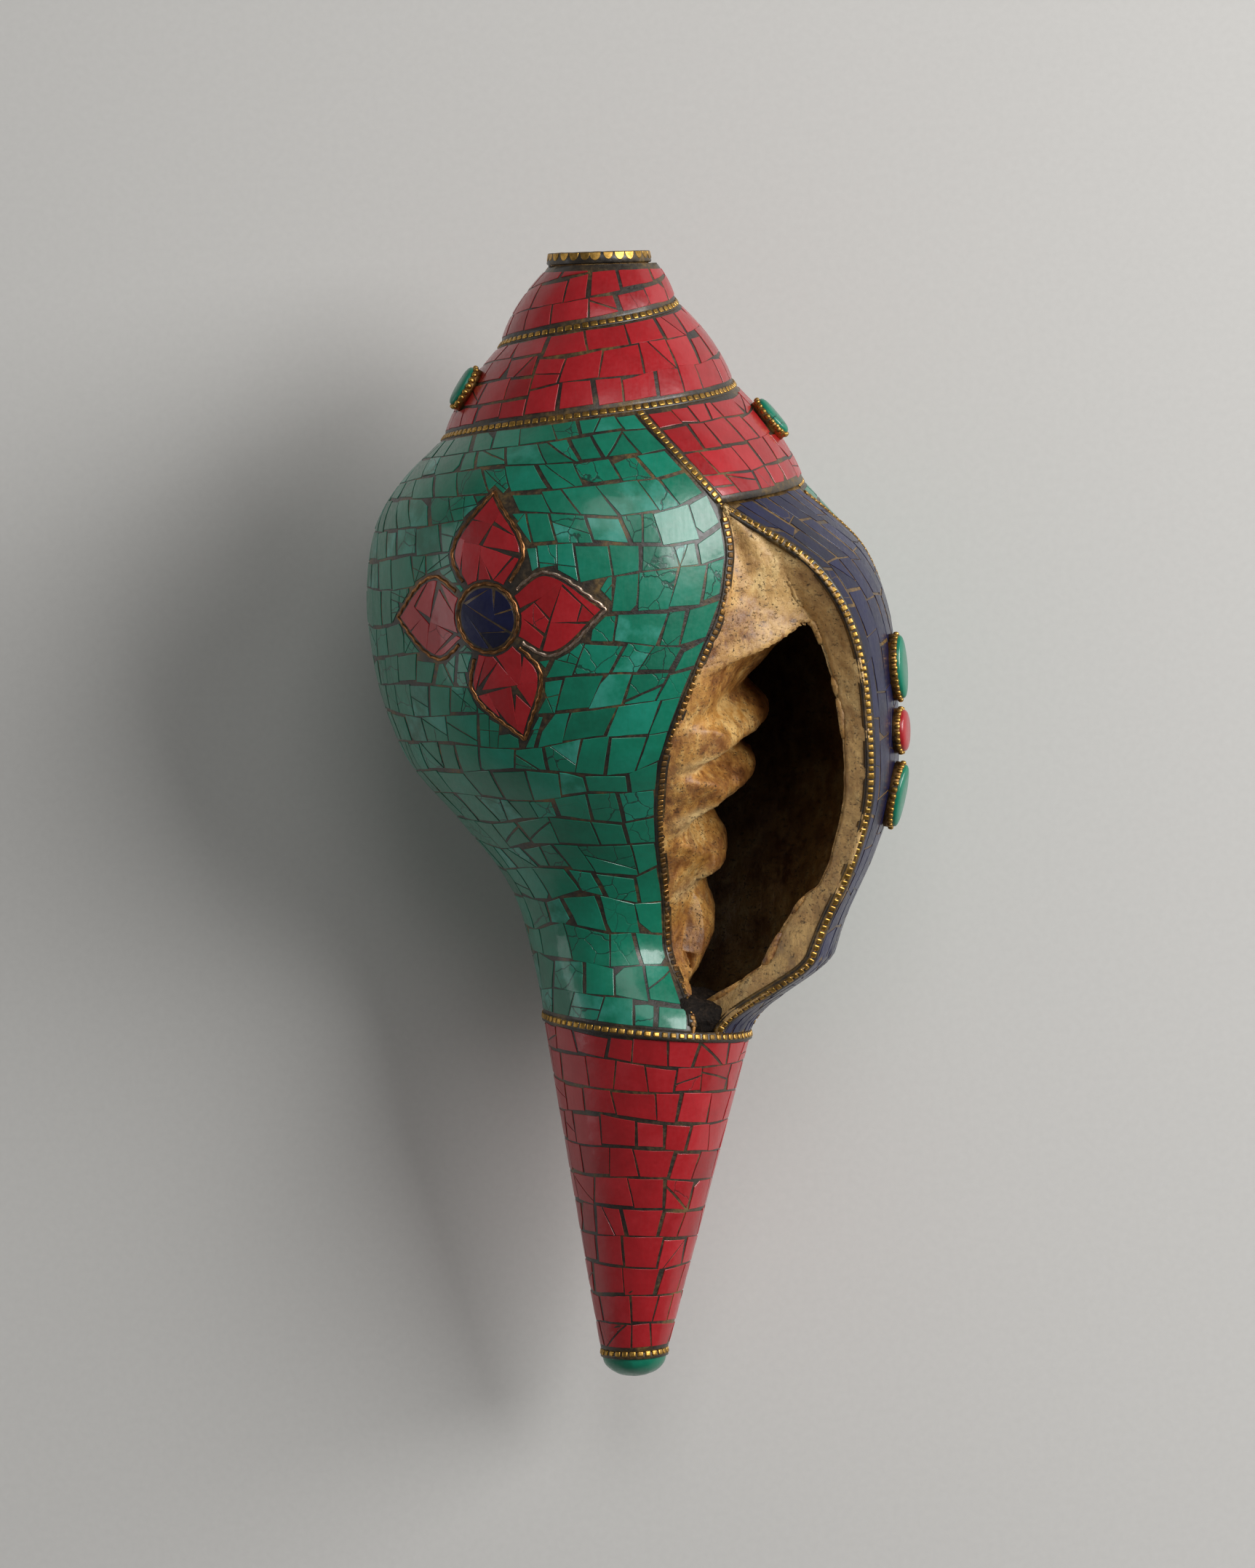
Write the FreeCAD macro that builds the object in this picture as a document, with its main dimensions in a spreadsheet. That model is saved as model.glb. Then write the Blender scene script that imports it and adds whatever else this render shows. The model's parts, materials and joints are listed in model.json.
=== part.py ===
import FreeCAD, Part
import math
import os
from FreeCAD import Placement, Rotation, Vector

# A conch trumpet: a large chank shell, sawn open at its apex to blow through and dressed with
# stone mosaic between brass wires. The shell's own axis is Z here, with the blow-hole rim at
# height zero and the canal tip below it. The aperture faces -Y and the lip is on the +X side.
# A drop is a distance down from the rim. An angle is unwound along the spiral: 0 on the right
# flank of the last whorl, -180 on its left flank, and a whole turn less on the whorl before.
# At the end every piece is laid on its back, as the trumpet lies when it is put down.

doc = FreeCAD.newDocument("conch_trumpet")

# Driving dimensions, in millimetres, degrees and plain ratios
SIZES = (
    ("shell_length", 190.0, "rim of the blow hole to the canal tip"),
    ("body_radius", 47.9, "belly of the last whorl on the right flank"),
    ("whorl_growth", 1.36, "ratio of one whorl to the one before"),
    ("suture_drop", 38.85, "suture on the right flank, below the rim"),
    ("suture_pitch", 17.66, "drop of the suture over the last turn"),
    ("suture_spread", 1.218, "growth of that pitch per turn squared"),
    ("spire_core", 7.3, "radius of the spire cone at the rim"),
    ("spire_slope", 0.66, "ratio of radius to drop along the spire"),
    ("whorl_bulge", 1.3, "swell of a spire whorl between its sutures"),
    ("collar_drop", 129.5, "wire collar at the root of the canal"),
    ("collar_slope", 0.12, "ratio by which that collar leans"),
    ("canal_radius", 17.7, "canal at the collar"),
    ("canal_offset", 3.9, "shift of the canal towards the lip"),
    ("cap_length", 4.6, "stone cap and its wire, beyond the end of the shell"),
    ("tip_radius", 5.9, "canal at that end, over its mosaic"),
    ("corner_angle", 58.0, "upper corner of the aperture"),
    ("lapis_angle", 40.0, "breadth of the lapis field behind the lip"),
    ("shear_angle", 19.0, "slant of the shoulder wire"),
    ("mosaic_thickness", 1.2, "stone chips in their pitch"),
    ("bedding_gap", 0.1, "glue under the mosaic"),
    ("wire_width", 1.1, "beaded wire"),
    ("pitch_joint", 0.25, "dark pitch on each side of a wire"),
    ("wire_proud", 0.05, "wire above the mosaic"),
    ("lip_wall", 4.2, "shell wall at the lip"),
    ("cavity_foot", 7.05, "shell between the bore of the last whorl and the collar"),
    ("cavity_growth", 2.5, "ratio of the bore's height to a whole turn before"),
    ("callus_height", 16.2, "callus that closes the aperture's upper end"),
    ("columella_cut", 0.5, "depth of the bore under the inner lip"),
    ("pillar_radius", 16.3, "columella seen in the aperture, at its waist"),
    ("plug_height", 7.3, "upper face of the pitch plug above the collar"),
    ("mouth_radius", 6.6, "blow hole"),
    ("mouth_depth", 8.0, "straight part of the blow hole"),
    ("throat_radius", 3.5, "inner wall of the bore where it meets the blow hole"),
    ("neck_radius", 7.6, "shell under the rim wire"),
    ("neck_depth", 6.0, "part of the shell turned down for the rim wire"),
    ("rim_radius", 8.9, "outside of the rim wire"),
    ("rim_height", 1.7, "rim wire with its pitch"),
    ("cap_radius", 5.4, "stone cap on the canal tip"),
    ("spigot_radius", 4.5, "shank of that cap inside its wire"),
    ("flower_angle", -238.5, "middle of the inlaid flower"),
    ("flower_drop", 59.3, "middle of the inlaid flower"),
    ("flower_boss", 5.7, "radius of the wire round its middle"),
    ("petal_reach", 20.8, "middle of the flower to a petal's point"),
    ("petal_width", 7.1, "half the breadth of a petal"),
    ("inlay_wire", 0.9, "twisted wire of the flower"),
    ("cabochon_length", 8.6, "oval stone with its bezel"),
    ("cabochon_width", 5.6, "oval stone with its bezel"),
    ("cabochon_drop", 22.3, "left stone, middle"),
    ("right_cabochon_drop", 29.0, "right stone, middle"),
    ("flank_drop", 81.2, "oval stone of the flank, middle"),
    ("leaf_length", 12.0, "leaf stone with its bezel"),
    ("leaf_width", 7.4, "leaf stone with its bezel"),
    ("oval_length", 8.4, "stone between the leaves, with its bezel"),
    ("bezel_wall", 0.9, "beaded bezel"),
    ("bezel_height", 1.5, "beaded bezel above the mosaic"),
    ("stone_crown", 0.5, "stone above its bezel"),
    ("ornament_gap", 0.4, "space between the flank ornaments"),
    ("fold_height", 4.2, "columellar fold above the inner lip"),
    ("fold_width", 12.0, "columellar fold at its foot"),
    ("sewing_gap", 0.001, "points closer than this are one point"),
    ("rest_roll", 0.0, "turn about the shell's axis, as it lies"),
    ("rest_pitch", 7.5, "dip of the canal tip, as it lies"),
)

sheet = doc.addObject("Spreadsheet::Sheet", "sizes")
for row, (alias, value, note) in enumerate(SIZES, start=1):
    sheet.set(f"A{row}", note)
    sheet.set(f"B{row}", str(value))
    sheet.setAlias(f"B{row}", alias)
doc.recompute()


def size(alias):
    return float(getattr(sheet, alias))


def tip_drop():
    """Flat end of the shell, under the cap on its canal."""
    return size("shell_length") - size("cap_length")


def cavity_height():
    """Bore of the last whorl, from its top to its foot."""
    return size("collar_drop") - size("suture_drop") - size("cavity_foot")


# Shares chosen by hand. A rise is 0 at the suture and 1 at the belly, by share of whorl height.
LEFT_RISE_SHARES = (
    (0, 0), (0.07, 0.52), (0.145, 0.853), (0.267, 1), (0.4, 0.922), (0.49, 0.75),
    (0.565, 0.512), (0.667, -0.08), (0.768, -0.6), (0.868, -0.83), (1, -0.82),
)
RIGHT_RISE_SHARES = (
    (0, 0), (0.047, 0.25), (0.131, 0.684), (0.24, 0.929), (0.395, 1), (0.55, 0.954),
    (0.673, 0.7), (0.8, 0.33), (0.912, 0.13), (1, 0.1),
)
CANAL_BLEND_SHARE = 0.85
OPENING_ANGLE = -420.0
CALLUS_FADE = 50.0
LEFT_CABOCHON_ANGLE = -555.0
RIGHT_CABOCHON_ANGLE = -348.0
FLANK_ANGLE = 14.0
# Angles by share of the height from the aperture's upper corner to the collar
LIP_ANGLE_SHARES = (
    (0, 1), (0.11, 0.73), (0.29, 0.58), (0.5, 0.535), (0.71, 0.51), (0.86, 0.57), (1, 0.71),
)
INNER_LIP_SPAN = 44.0
INNER_LIP_SHARES = (
    (0, 0), (0.11, 0.34), (0.22, 0.57), (0.29, 0.73), (0.4, 0.91), (0.5, 1), (0.64, 0.91),
    (0.78, 0.55), (0.89, 0.34), (1, 0.3),
)
# Half outline of a petal: along it by share of its reach, across it by share of its half width
PETAL_SHARES = (
    (0.28, 0.61), (0.375, 0.82), (0.49, 1), (0.625, 0.9), (0.75, 0.65), (0.865, 0.34),
)
PETAL_TURNS = (0.0, 87.0, 168.0, 270.0)
POINT_PUSH_SHARE = 1.35
# Columella in the aperture: its radius by share of the height from the corner to the collar
PILLAR_SHARES = (
    (0, 2.4), (0.23, 1.85), (0.34, 1.42), (0.45, 1.28), (0.57, 1), (0.8, 1), (0.86, 0.85), (1, 0.6),
)
PILLAR_SHOULDER_SHARE = 0.3
PILLAR_FOOT_SHARE = 0.86
# Columellar folds, from the upper one down: drop of the middle, height and width of each
FOLD_SHARES = ((0.364, 0.9, 1.23), (0.508, 1, 0.87), (0.631, 0.6, 0.94), (0.8, 0.8, 1.6))
# Section of a fold: across it, and up; and the height of its crest by the angle round the shell
FOLD_PROFILE_SHARES = ((-0.24, 0.6), (0.06, 1), (0.27, 0.85), (0.4, 0.4))
FOLD_CREST_SHARES = ((66, 0.1), (50, 0.7), (34, 1), (16, 0.85), (-6, 0.6), (-30, 0.4), (-54, 0.2))

# Counts of the faceted skin: columns to a turn, rows of a spire whorl, rows of the last whorl
COLUMNS = 36
SPIRE_ROWS = 3
BODY_ROWS = 17
INNER_LIP_COLUMNS = 4
CANAL_ROWS = 3
STEP = 360.0 / COLUMNS
LAPIS_COLUMNS = round(size("lapis_angle") / STEP)
SHEAR_COLUMNS = 5
CANAL_COLUMNS = COLUMNS + INNER_LIP_COLUMNS
CORNER = 98
LAST = CORNER + COLUMNS
FLOWER_SIDES = 20
SEAT_POINTS = 5
ORNAMENT_SIDES = 14
CAP_SIDES = 16
CAP_RINGS = 4
CAVITY_STEP = 30.0
CAVITY_START = -892.0
THROAT_TURN = 200.0
CAVITY_LEVELS = 6
LIP_OVERRUN = 44.0


def mix(a, b, share):
    return a + (b - a) * share


def smooth(share):
    share = min(max(share, 0.0), 1.0)
    return share * share * (3 - 2 * share)


def through(table, x):
    """Smooth curve through the points of a table, held level past its ends."""
    if x <= table[0][0]:
        return table[0][1]
    if x >= table[-1][0]:
        return table[-1][1]
    i = max(k for k in range(len(table) - 1) if table[k][0] <= x)

    def slope(k):
        low, high = max(k - 1, 0), min(k + 1, len(table) - 1)
        return (table[high][1] - table[low][1]) / (table[high][0] - table[low][0])

    width = table[i + 1][0] - table[i][0]
    u = (x - table[i][0]) / width
    ends = mix(table[i][1], table[i + 1][1], u * u * (3 - 2 * u))
    return ends + width * u * (1 - u) * ((1 - u) * slope(i) - u * slope(i + 1))


def suture_drop(angle):
    turn = angle / 360
    return size("suture_drop") + size("suture_pitch") * turn + size("suture_spread") * turn**2


def suture_radius(angle):
    return size("spire_core") + size("spire_slope") * suture_drop(angle)


def belly_radius(angle):
    return size("body_radius") * size("whorl_growth") ** (angle / 360)


def canal_reach(angle, share=0.0):
    """Distance from the shell's axis to the canal's skin, from its collar (0) to its end (1)."""
    radius = mix(size("canal_radius"), size("tip_radius"), share)
    offset = size("canal_offset") * (1 - share)
    turned = math.radians(angle)
    return offset * math.cos(turned) + math.sqrt(radius**2 - (offset * math.sin(turned)) ** 2)


def collar_drop(angle):
    lean = size("collar_slope") * canal_reach(angle) * math.cos(math.radians(angle))
    return size("collar_drop") + lean


def whorl_radius(angle, drop):
    """Skin of the whorl whose growth has reached this angle, as if no later whorl hid it."""
    top = suture_drop(angle)
    share = (drop - top) / (collar_drop(angle) - top)
    lean = (1 + math.cos(math.radians(min(max(angle, -180.0), 0.0)))) / 2
    rise = mix(through(LEFT_RISE_SHARES, share), through(RIGHT_RISE_SHARES, share), lean)
    radius = mix(suture_radius(angle), belly_radius(angle), rise)
    blend = smooth((share - CANAL_BLEND_SHARE) / (1 - CANAL_BLEND_SHARE))
    return mix(radius, canal_reach(angle), blend)


def spire_radius(angle, drop):
    """Skin of a spire whorl, between its own suture and the next one below."""
    top, foot = suture_drop(angle), suture_drop(angle + 360)
    share = (drop - top) / (foot - top)
    chord = mix(suture_radius(angle), suture_radius(angle + 360), share)
    return chord + size("whorl_bulge") * 4 * share * (1 - share)


def upper_radius(angle, drop):
    """Skin above the aperture's corner, where spire whorls turn into the last whorl."""
    opened = smooth((angle - OPENING_ANGLE) / (size("corner_angle") - 360 - OPENING_ANGLE))
    return mix(spire_radius(angle, drop), whorl_radius(angle, drop), opened)


def placed(angle, radius, drop):
    turned = math.radians(angle)
    return Vector(radius * math.cos(turned), -radius * math.sin(turned), -drop)


def skin(radius_of, angle, drop, depth):
    """Point of a skin, let in by a depth square to the surface."""
    reach = size("wire_width")
    slope = (radius_of(angle, drop + reach) - radius_of(angle, drop - reach)) / (2 * reach)
    steep = math.hypot(1, slope)
    return placed(angle, radius_of(angle, drop) - depth / steep, drop + depth * slope / steep)


# The skin's net of points. A spire column runs from its own suture down to the next one, and the
# last whorl's columns from the suture to the collar, along the growth lines of the lip. A key
# names a point of the net, and points that two regions share have one key.
def column_angle(column):
    return size("corner_angle") - STEP * (LAST - column)


def upper_key(column, row):
    if row < SPIRE_ROWS:
        return ("upper", column, row)
    if column + COLUMNS <= CORNER:
        return ("upper", column + COLUMNS, 0)
    return body_key(0, column + COLUMNS - CORNER)


def upper_point(column, row, depth):
    angle = column_angle(column)
    share = row / SPIRE_ROWS
    near = max(0.0, 1 - abs(column - CORNER) / SHEAR_COLUMNS)
    angle += size("shear_angle") * (1 - share) * near
    drop = mix(suture_drop(angle), suture_drop(angle + 360), share)
    return skin(upper_radius, angle, drop, depth)


def corner_drop():
    return suture_drop(size("corner_angle"))


def lip_angle(share):
    return size("corner_angle") * through(LIP_ANGLE_SHARES, share)


def inner_angle(share, across):
    """Angle on the inner lip, from under the outer lip (0) to the edge of the mosaic (1)."""
    span = INNER_LIP_SPAN * through(INNER_LIP_SHARES, share)
    return lip_angle(share) - 360 + span * across


def body_key(row, column):
    if column == 0 and row < SPIRE_ROWS:
        return upper_key(CORNER, row)
    if column == 0 and row == SPIRE_ROWS:
        return ("body", 0, COLUMNS)
    return ("body", row, column)


def body_point(row, column, depth):
    share = row / BODY_ROWS
    below = max(row - SPIRE_ROWS, 0) / (BODY_ROWS - SPIRE_ROWS)
    start = inner_angle(below, 1.0)
    if row < SPIRE_ROWS:
        start += size("shear_angle") * (1 - row / SPIRE_ROWS)
    turquoise = COLUMNS - LAPIS_COLUMNS
    if column <= turquoise:
        angle = mix(start, lip_angle(share) - STEP * LAPIS_COLUMNS, column / turquoise)
    else:
        angle = lip_angle(share) - STEP * (COLUMNS - column)
    if column == 0:
        drop = mix(corner_drop(), collar_drop(angle), below)
    elif column == COLUMNS:
        drop = mix(corner_drop(), collar_drop(angle), share)
    else:
        drop = mix(suture_drop(angle), collar_drop(angle), share)
    return skin(whorl_radius if row else upper_radius, angle, drop, depth)


def inner_key(row, column):
    if row == 0 or (row == BODY_ROWS and column == 0):
        return ("body", row, COLUMNS)
    return ("inner", row, column)


def pillar_radius(angle, drop):
    """Columella at this angle, where it stands further in than the whorl before."""
    share = (drop - corner_drop()) / (collar_drop(angle) - corner_drop())
    grown = size("whorl_growth") ** (min(angle, 0.0) / 360)
    pillar = size("pillar_radius") * through(PILLAR_SHARES, share) * grown
    return min(whorl_radius(angle - 360, drop), pillar)


def inner_point(row, column, depth):
    share, across = row / BODY_ROWS, column / INNER_LIP_COLUMNS
    angle = inner_angle(share, across)
    drop = mix(corner_drop(), collar_drop(angle), share)
    plain = skin(whorl_radius, angle, drop, depth)
    recess = whorl_radius(angle, drop) - pillar_radius(angle + 360, drop)
    recess *= 1 - smooth((across - PILLAR_SHOULDER_SHARE) / (1 - PILLAR_SHOULDER_SHARE))
    recess *= 1 - smooth((share - PILLAR_FOOT_SHARE) / (1 - PILLAR_FOOT_SHARE))
    outward = placed(angle, recess, 0.0)
    return plain - outward


def canal_key(row, column):
    column = column % CANAL_COLUMNS
    if row:
        return ("canal", row, column)
    if column <= COLUMNS:
        return body_key(BODY_ROWS, column)
    return inner_key(BODY_ROWS, column - COLUMNS)


def canal_point(row, column, depth):
    root = net_point(canal_key(0, column), 0.0)
    angle = math.degrees(math.atan2(-root.y, root.x))
    share = row / CANAL_ROWS
    drop = mix(collar_drop(angle), tip_drop(), share)
    return placed(angle, canal_reach(angle, share) - depth, drop)


def net_point(key, depth):
    region, first, second = key
    point_of = {"upper": upper_point, "body": body_point, "inner": inner_point}
    return point_of.get(region, canal_point)(first, second, depth)


def cell(key_of, first, second):
    corners = ((0, 0), (0, 1), (1, 1), (1, 0))
    keys = [key_of(first + i, second + j) for i, j in corners]
    return [key for n, key in enumerate(keys) if key != keys[n - 1]]


def upper_cells(start, stop, key_of=upper_key):
    return [cell(key_of, c, r)[::-1] for c in range(start, stop) for r in range(SPIRE_ROWS)]


def body_cells(start, stop):
    return [cell(body_key, r, c) for r in range(BODY_ROWS) for c in range(start, stop)]


def inner_cells():
    """Exposed shell between the outer lip and the mosaic's edge, its last column zipped on."""
    plain = INNER_LIP_COLUMNS - 1
    cells = [cell(inner_key, r, c) for r in range(BODY_ROWS) for c in range(plain)]
    near = [inner_key(row, plain) for row in range(BODY_ROWS + 1)]
    far = [body_key(row, 0) for row in range(SPIRE_ROWS, BODY_ROWS + 1)]
    i = j = 0
    while i < len(near) - 1 or j < len(far) - 1:
        if j == len(far) - 1 or (i + 1) * (len(far) - 1) <= (j + 1) * (len(near) - 1):
            cells.append([near[i], far[j], near[min(i + 1, len(near) - 1)]])
            i += 1
        else:
            cells.append([near[i], far[j], far[j + 1]])
            j += 1
    return [keys for keys in cells if len(set(keys)) > 2]


def canal_cells():
    return [cell(canal_key, r, c) for r in range(CANAL_ROWS) for c in range(CANAL_COLUMNS)]


def solid_of(faces):
    """Closed solid of flat faces, each given by its corner points in turn."""
    corners, triangles, index = [], [], {}

    def number(point):
        key = (round(point.x, 5), round(point.y, 5), round(point.z, 5))
        if key not in index:
            index[key] = len(corners)
            corners.append(point)
        return index[key]

    for face in faces:
        ring = [number(point) for point in face]
        for k in range(1, len(ring) - 1):
            triangle = (ring[0], ring[k], ring[k + 1])
            if len(set(triangle)) == 3:
                triangles.append(triangle)
    shape = Part.Shape()
    shape.makeShapeFromMesh((corners, triangles), size("sewing_gap"))
    solid = Part.makeSolid(shape)
    if solid.Volume < 0:
        solid.reverse()
    return solid


def rim_edges(cells):
    """Border edges of a field of cells, each with its cell; and from each key to the next."""
    owner = {(k[n - 1], k[n]): k for k in cells for n in range(len(k))}
    return owner, {a: b for a, b in owner if (b, a) not in owner}


def plate(cells, margin_of, depth_out, depth_in):
    """A field of mosaic: its cells between two depths, drawn in from its border by a margin."""
    keys = sorted({key for keys in cells for key in keys})
    top = {key: net_point(key, depth_out) for key in keys}
    base = {key: net_point(key, depth_in) for key in keys}
    owner, after = rim_edges(cells)
    before = {b: a for a, b in after.items()}
    shift = {}
    for key in after:
        inward, reach = [], []
        for a, b in ((before[key], key), (key, after[key])):
            corners = [base[k] for k in owner[a, b]]
            up = (corners[2] - corners[0]).cross(corners[-1] - corners[1])
            inward.append(up.cross(base[b] - base[a]).normalize())
            reach.append(margin_of(a, b))
        turn = inward[0].dot(inward[1])
        if 1 - turn**2 < 0.02:
            shift[key] = (inward[0] + inward[1]) * ((reach[0] + reach[1]) / 4)
            continue
        first = (reach[0] - reach[1] * turn) / (1 - turn**2)
        second = (reach[1] - reach[0] * turn) / (1 - turn**2)
        shift[key] = inward[0] * first + inward[1] * second
    for key, move in shift.items():
        top[key] = top[key] + move
        base[key] = base[key] + move
    faces = [[top[key] for key in keys] for keys in cells]
    faces += [[base[key] for key in keys[:1] + keys[:0:-1]] for keys in cells]
    for a, b in after.items():
        faces.append([top[b], top[a], base[a], base[b]])
    return solid_of(faces)


def ribbon(tops, bases, width, closed=False, shift=0.0):
    """A flat wire of a given width laid along a row of points on the skin."""
    rings = []
    count = len(tops)
    for n in range(count):
        back = tops[n - 1] if closed or n else tops[n]
        ahead = tops[(n + 1) % count] if closed or n < count - 1 else tops[n]
        up = (tops[n] - bases[n]).normalize()
        side = (ahead - back).cross(up).normalize()
        near, far = side * (shift - width / 2), side * (shift + width / 2)
        rings.append([tops[n] + near, tops[n] + far, bases[n] + far, bases[n] + near])
    faces = []
    for n in range(count if closed else count - 1):
        here, there = rings[n], rings[(n + 1) % count]
        for k in range(4):
            faces.append([here[k], there[k], there[(k + 1) % 4], here[(k + 1) % 4]])
    if not closed:
        faces.append(rings[0])
        faces.append(rings[-1][::-1])
    return solid_of(faces)


def wire_along(keys, closed=False, shift=0.0, trim=(0.0, 0.0)):
    """A beaded wire along net points, its ends cut back by the trims."""
    tops = [net_point(key, -size("wire_proud")) for key in keys]
    bases = [net_point(key, size("mosaic_thickness")) for key in keys]
    for row in (tops, bases):
        if trim[0]:
            row[0] = row[0] + (row[1] - row[0]).normalize() * trim[0]
        if trim[1]:
            row[-1] = row[-1] + (row[-2] - row[-1]).normalize() * trim[1]
    return ribbon(tops, bases, size("wire_width"), closed, shift)


def feature(label, shape):
    thing = doc.addObject("Part::Feature", label)
    thing.Shape = shape
    return thing


def slab(high, low):
    """Everything the shell could fill between two drops."""
    reach = 2 * size("body_radius")
    return Part.makeBox(2 * reach, 2 * reach, low - high, Vector(-reach, -reach, -low))


pieces = []


def piece(thing, label):
    thing.Label = label
    pieces.append(thing)


def combined(kind, label, parts):
    """A boolean of objects; a cut takes the second from the first."""
    thing = doc.addObject("Part::" + kind, label)
    thing.Refine = False
    if kind.startswith("Multi"):
        thing.Shapes = parts
    else:
        thing.Base, thing.Tool = parts
    return thing


# Shell: a closed skin at the depth of the mosaic's bed, sawn off at the apex, its neck turned
# down for the rim wire, and hollowed by the spiral bore and the straight blow hole
bed = size("mosaic_thickness") + size("bedding_gap")
shell_cells = upper_cells(0, CORNER) + body_cells(0, COLUMNS) + inner_cells() + canal_cells()
lip_face = []
for row in range(BODY_ROWS):
    keys = [body_key(row, COLUMNS), inner_key(row, 0)]
    keys += [inner_key(row + 1, 0), body_key(row + 1, COLUMNS)]
    lip_face.append([key for n, key in enumerate(keys) if key != keys[n - 1]])
shell_faces = [[net_point(key, bed) for key in keys] for keys in shell_cells + lip_face]
apex = Vector(0, 0, -suture_drop(column_angle(0)) + size("rim_height"))
crown = [upper_key(0, row) for row in range(SPIRE_ROWS, -1, -1)]
crown += [upper_key(column, 0) for column in range(1, COLUMNS)]
tip = Vector(0, 0, -tip_drop())
base_ring = [canal_key(CANAL_ROWS, column) for column in range(CANAL_COLUMNS)]
for ring, hub in ((crown, apex), (base_ring, tip)):
    for n in range(len(ring)):
        shell_faces.append([net_point(ring[n - 1], bed), net_point(ring[n], bed), hub])
sawn = slab(size("rim_height"), size("shell_length"))
whorls = feature("whorls", solid_of(shell_faces).common(sawn))


def wall(angle):
    return size("lip_wall") * size("whorl_growth") ** (angle / 360)


def inner_wall(angle, drop):
    away = smooth((angle - CAVITY_START) / THROAT_TURN)
    return mix(size("throat_radius"), pillar_radius(angle, drop) - bed - size("columella_cut"), away)


def bore_ring(angle):
    """Cut through the spiral bore at one angle: down its outer wall, then up its inner wall."""
    faded = math.exp((angle - size("corner_angle") / 2) / CALLUS_FADE)
    callus = size("callus_height") * faded
    top = suture_drop(angle) + wall(angle) + callus
    growth = size("cavity_growth") if angle < 0 else size("whorl_growth")
    low = suture_drop(angle) + cavity_height() * growth ** (angle / 360)
    outer, inner = [], []
    for level in range(CAVITY_LEVELS):
        drop = mix(top, low, level / (CAVITY_LEVELS - 1))
        near = inner_wall(angle, drop)
        far = whorl_radius(angle, drop) - size("mosaic_thickness") - wall(angle)
        outer.append(placed(angle, max(far, near + size("wire_width")), drop))
        inner.append(placed(angle, near, drop))
    return outer + inner[::-1]


def tube_of(rings):
    """Closed solid through rings of points; each end is closed by strips across the ring."""
    faces = []
    for ring, way in ((rings[0], -1), (rings[-1], 1)):
        for k in range(len(ring) // 2 - 1):
            faces.append([ring[k], ring[k + 1], ring[-k - 2], ring[-k - 1]][::way])
    for here, there in zip(rings, rings[1:]):
        for k in range(len(here)):
            faces.append([here[k - 1], here[k], there[k], there[k - 1]])
    return solid_of(faces)


steps = int((LIP_OVERRUN - CAVITY_START) / CAVITY_STEP)
bore = feature(
    "spiral_bore",
    tube_of([bore_ring(LIP_OVERRUN - CAVITY_STEP * n) for n in range(steps, -1, -1)]),
)


def cylinder(label, radius, height):
    thing = doc.addObject("Part::Cylinder", label)
    thing.setExpression("Radius", f"sizes.{radius}")
    thing.setExpression("Height", f"sizes.{height}")
    thing.setExpression("Placement.Base.z", f"-sizes.{height}")
    return thing


neck = cylinder("neck", "neck_radius", "neck_depth")
blow_hole = cylinder("blow_hole", "mouth_radius", "mouth_depth")
solid_whorls = combined("MultiFuse", "solid_whorls", [whorls, neck])
air = combined("MultiFuse", "air_passage", [bore, blow_hole])
hollow = combined("Cut", "hollow_whorls", [solid_whorls, air])


def fold_ring(angle, drop, height, width):
    """Cut through a columellar fold: a ridge on the inner lip, steeper on its lower side."""
    sink = size("columella_cut")
    profile = [(across * width, rise * height) for across, rise in FOLD_PROFILE_SHARES]
    crest, foot = [], []
    for across, rise in [(-width / 2, -sink)] + profile + [(width / 2, -sink)]:
        here = drop + across
        base = inner_wall(angle, here)
        crest.append(placed(angle, base + rise, here))
        foot.append(placed(angle, base - 3 * sink, here))
    return crest + foot[::-1]


def fold(drop, height, width):
    """A fold that rises near the mosaic's edge, crests at the opening and winds inwards."""
    rings = []
    for angle, share in FOLD_CREST_SHARES:
        rings.append(fold_ring(angle, drop, height * share, width * (1 + share) / 2))
    return tube_of(rings)


folds = []
for number, (place, high, broad) in enumerate(FOLD_SHARES, start=1):
    fold_drop = mix(corner_drop(), size("collar_drop"), place)
    shape = fold(fold_drop, size("fold_height") * high, size("fold_width") * broad)
    folds.append(feature(f"fold_{number}", shape))
piece(combined("MultiFuse", "shell", [hollow] + folds), "conch_shell")

# Pitch that plugs the slit at the aperture's foot: it fills the bore below one level
plug_top = size("collar_drop") - size("plug_height")
plug_room = feature("plug_room", slab(plug_top, size("shell_length")))
lower_bore = combined("Common", "lower_bore", [bore, plug_room])
plug = combined("Common", "plug", [whorls, lower_bore])
piece(combined("Cut", "fitted_plug", [plug, folds[-1]]), "canal_pitch_plug")

# Mosaic fields, each drawn in from the wires round it
wire_margin = size("wire_width") / 2 + size("pitch_joint")
lip_keys = [upper_key(CORNER, row) for row in range(SPIRE_ROWS)]
lip_keys += [body_key(row, COLUMNS) for row in range(BODY_ROWS + 1)]


def field_margin(a, b):
    """A field stops short of a wire; on the outer lip the whole wire lies inside the edge."""
    on_lip = a in lip_keys[SPIRE_ROWS:] and b in lip_keys[SPIRE_ROWS:]
    return size("wire_width") + size("pitch_joint") if on_lip else wire_margin


def field(label, cells):
    shape = plate(cells, field_margin, 0.0, size("mosaic_thickness"))
    return feature(label + "_field", shape)


def spire_key(column, row):
    """Key of a spire point that the whorl below doesn't share, so that the suture stays open."""
    return ("upper", column, row)


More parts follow.
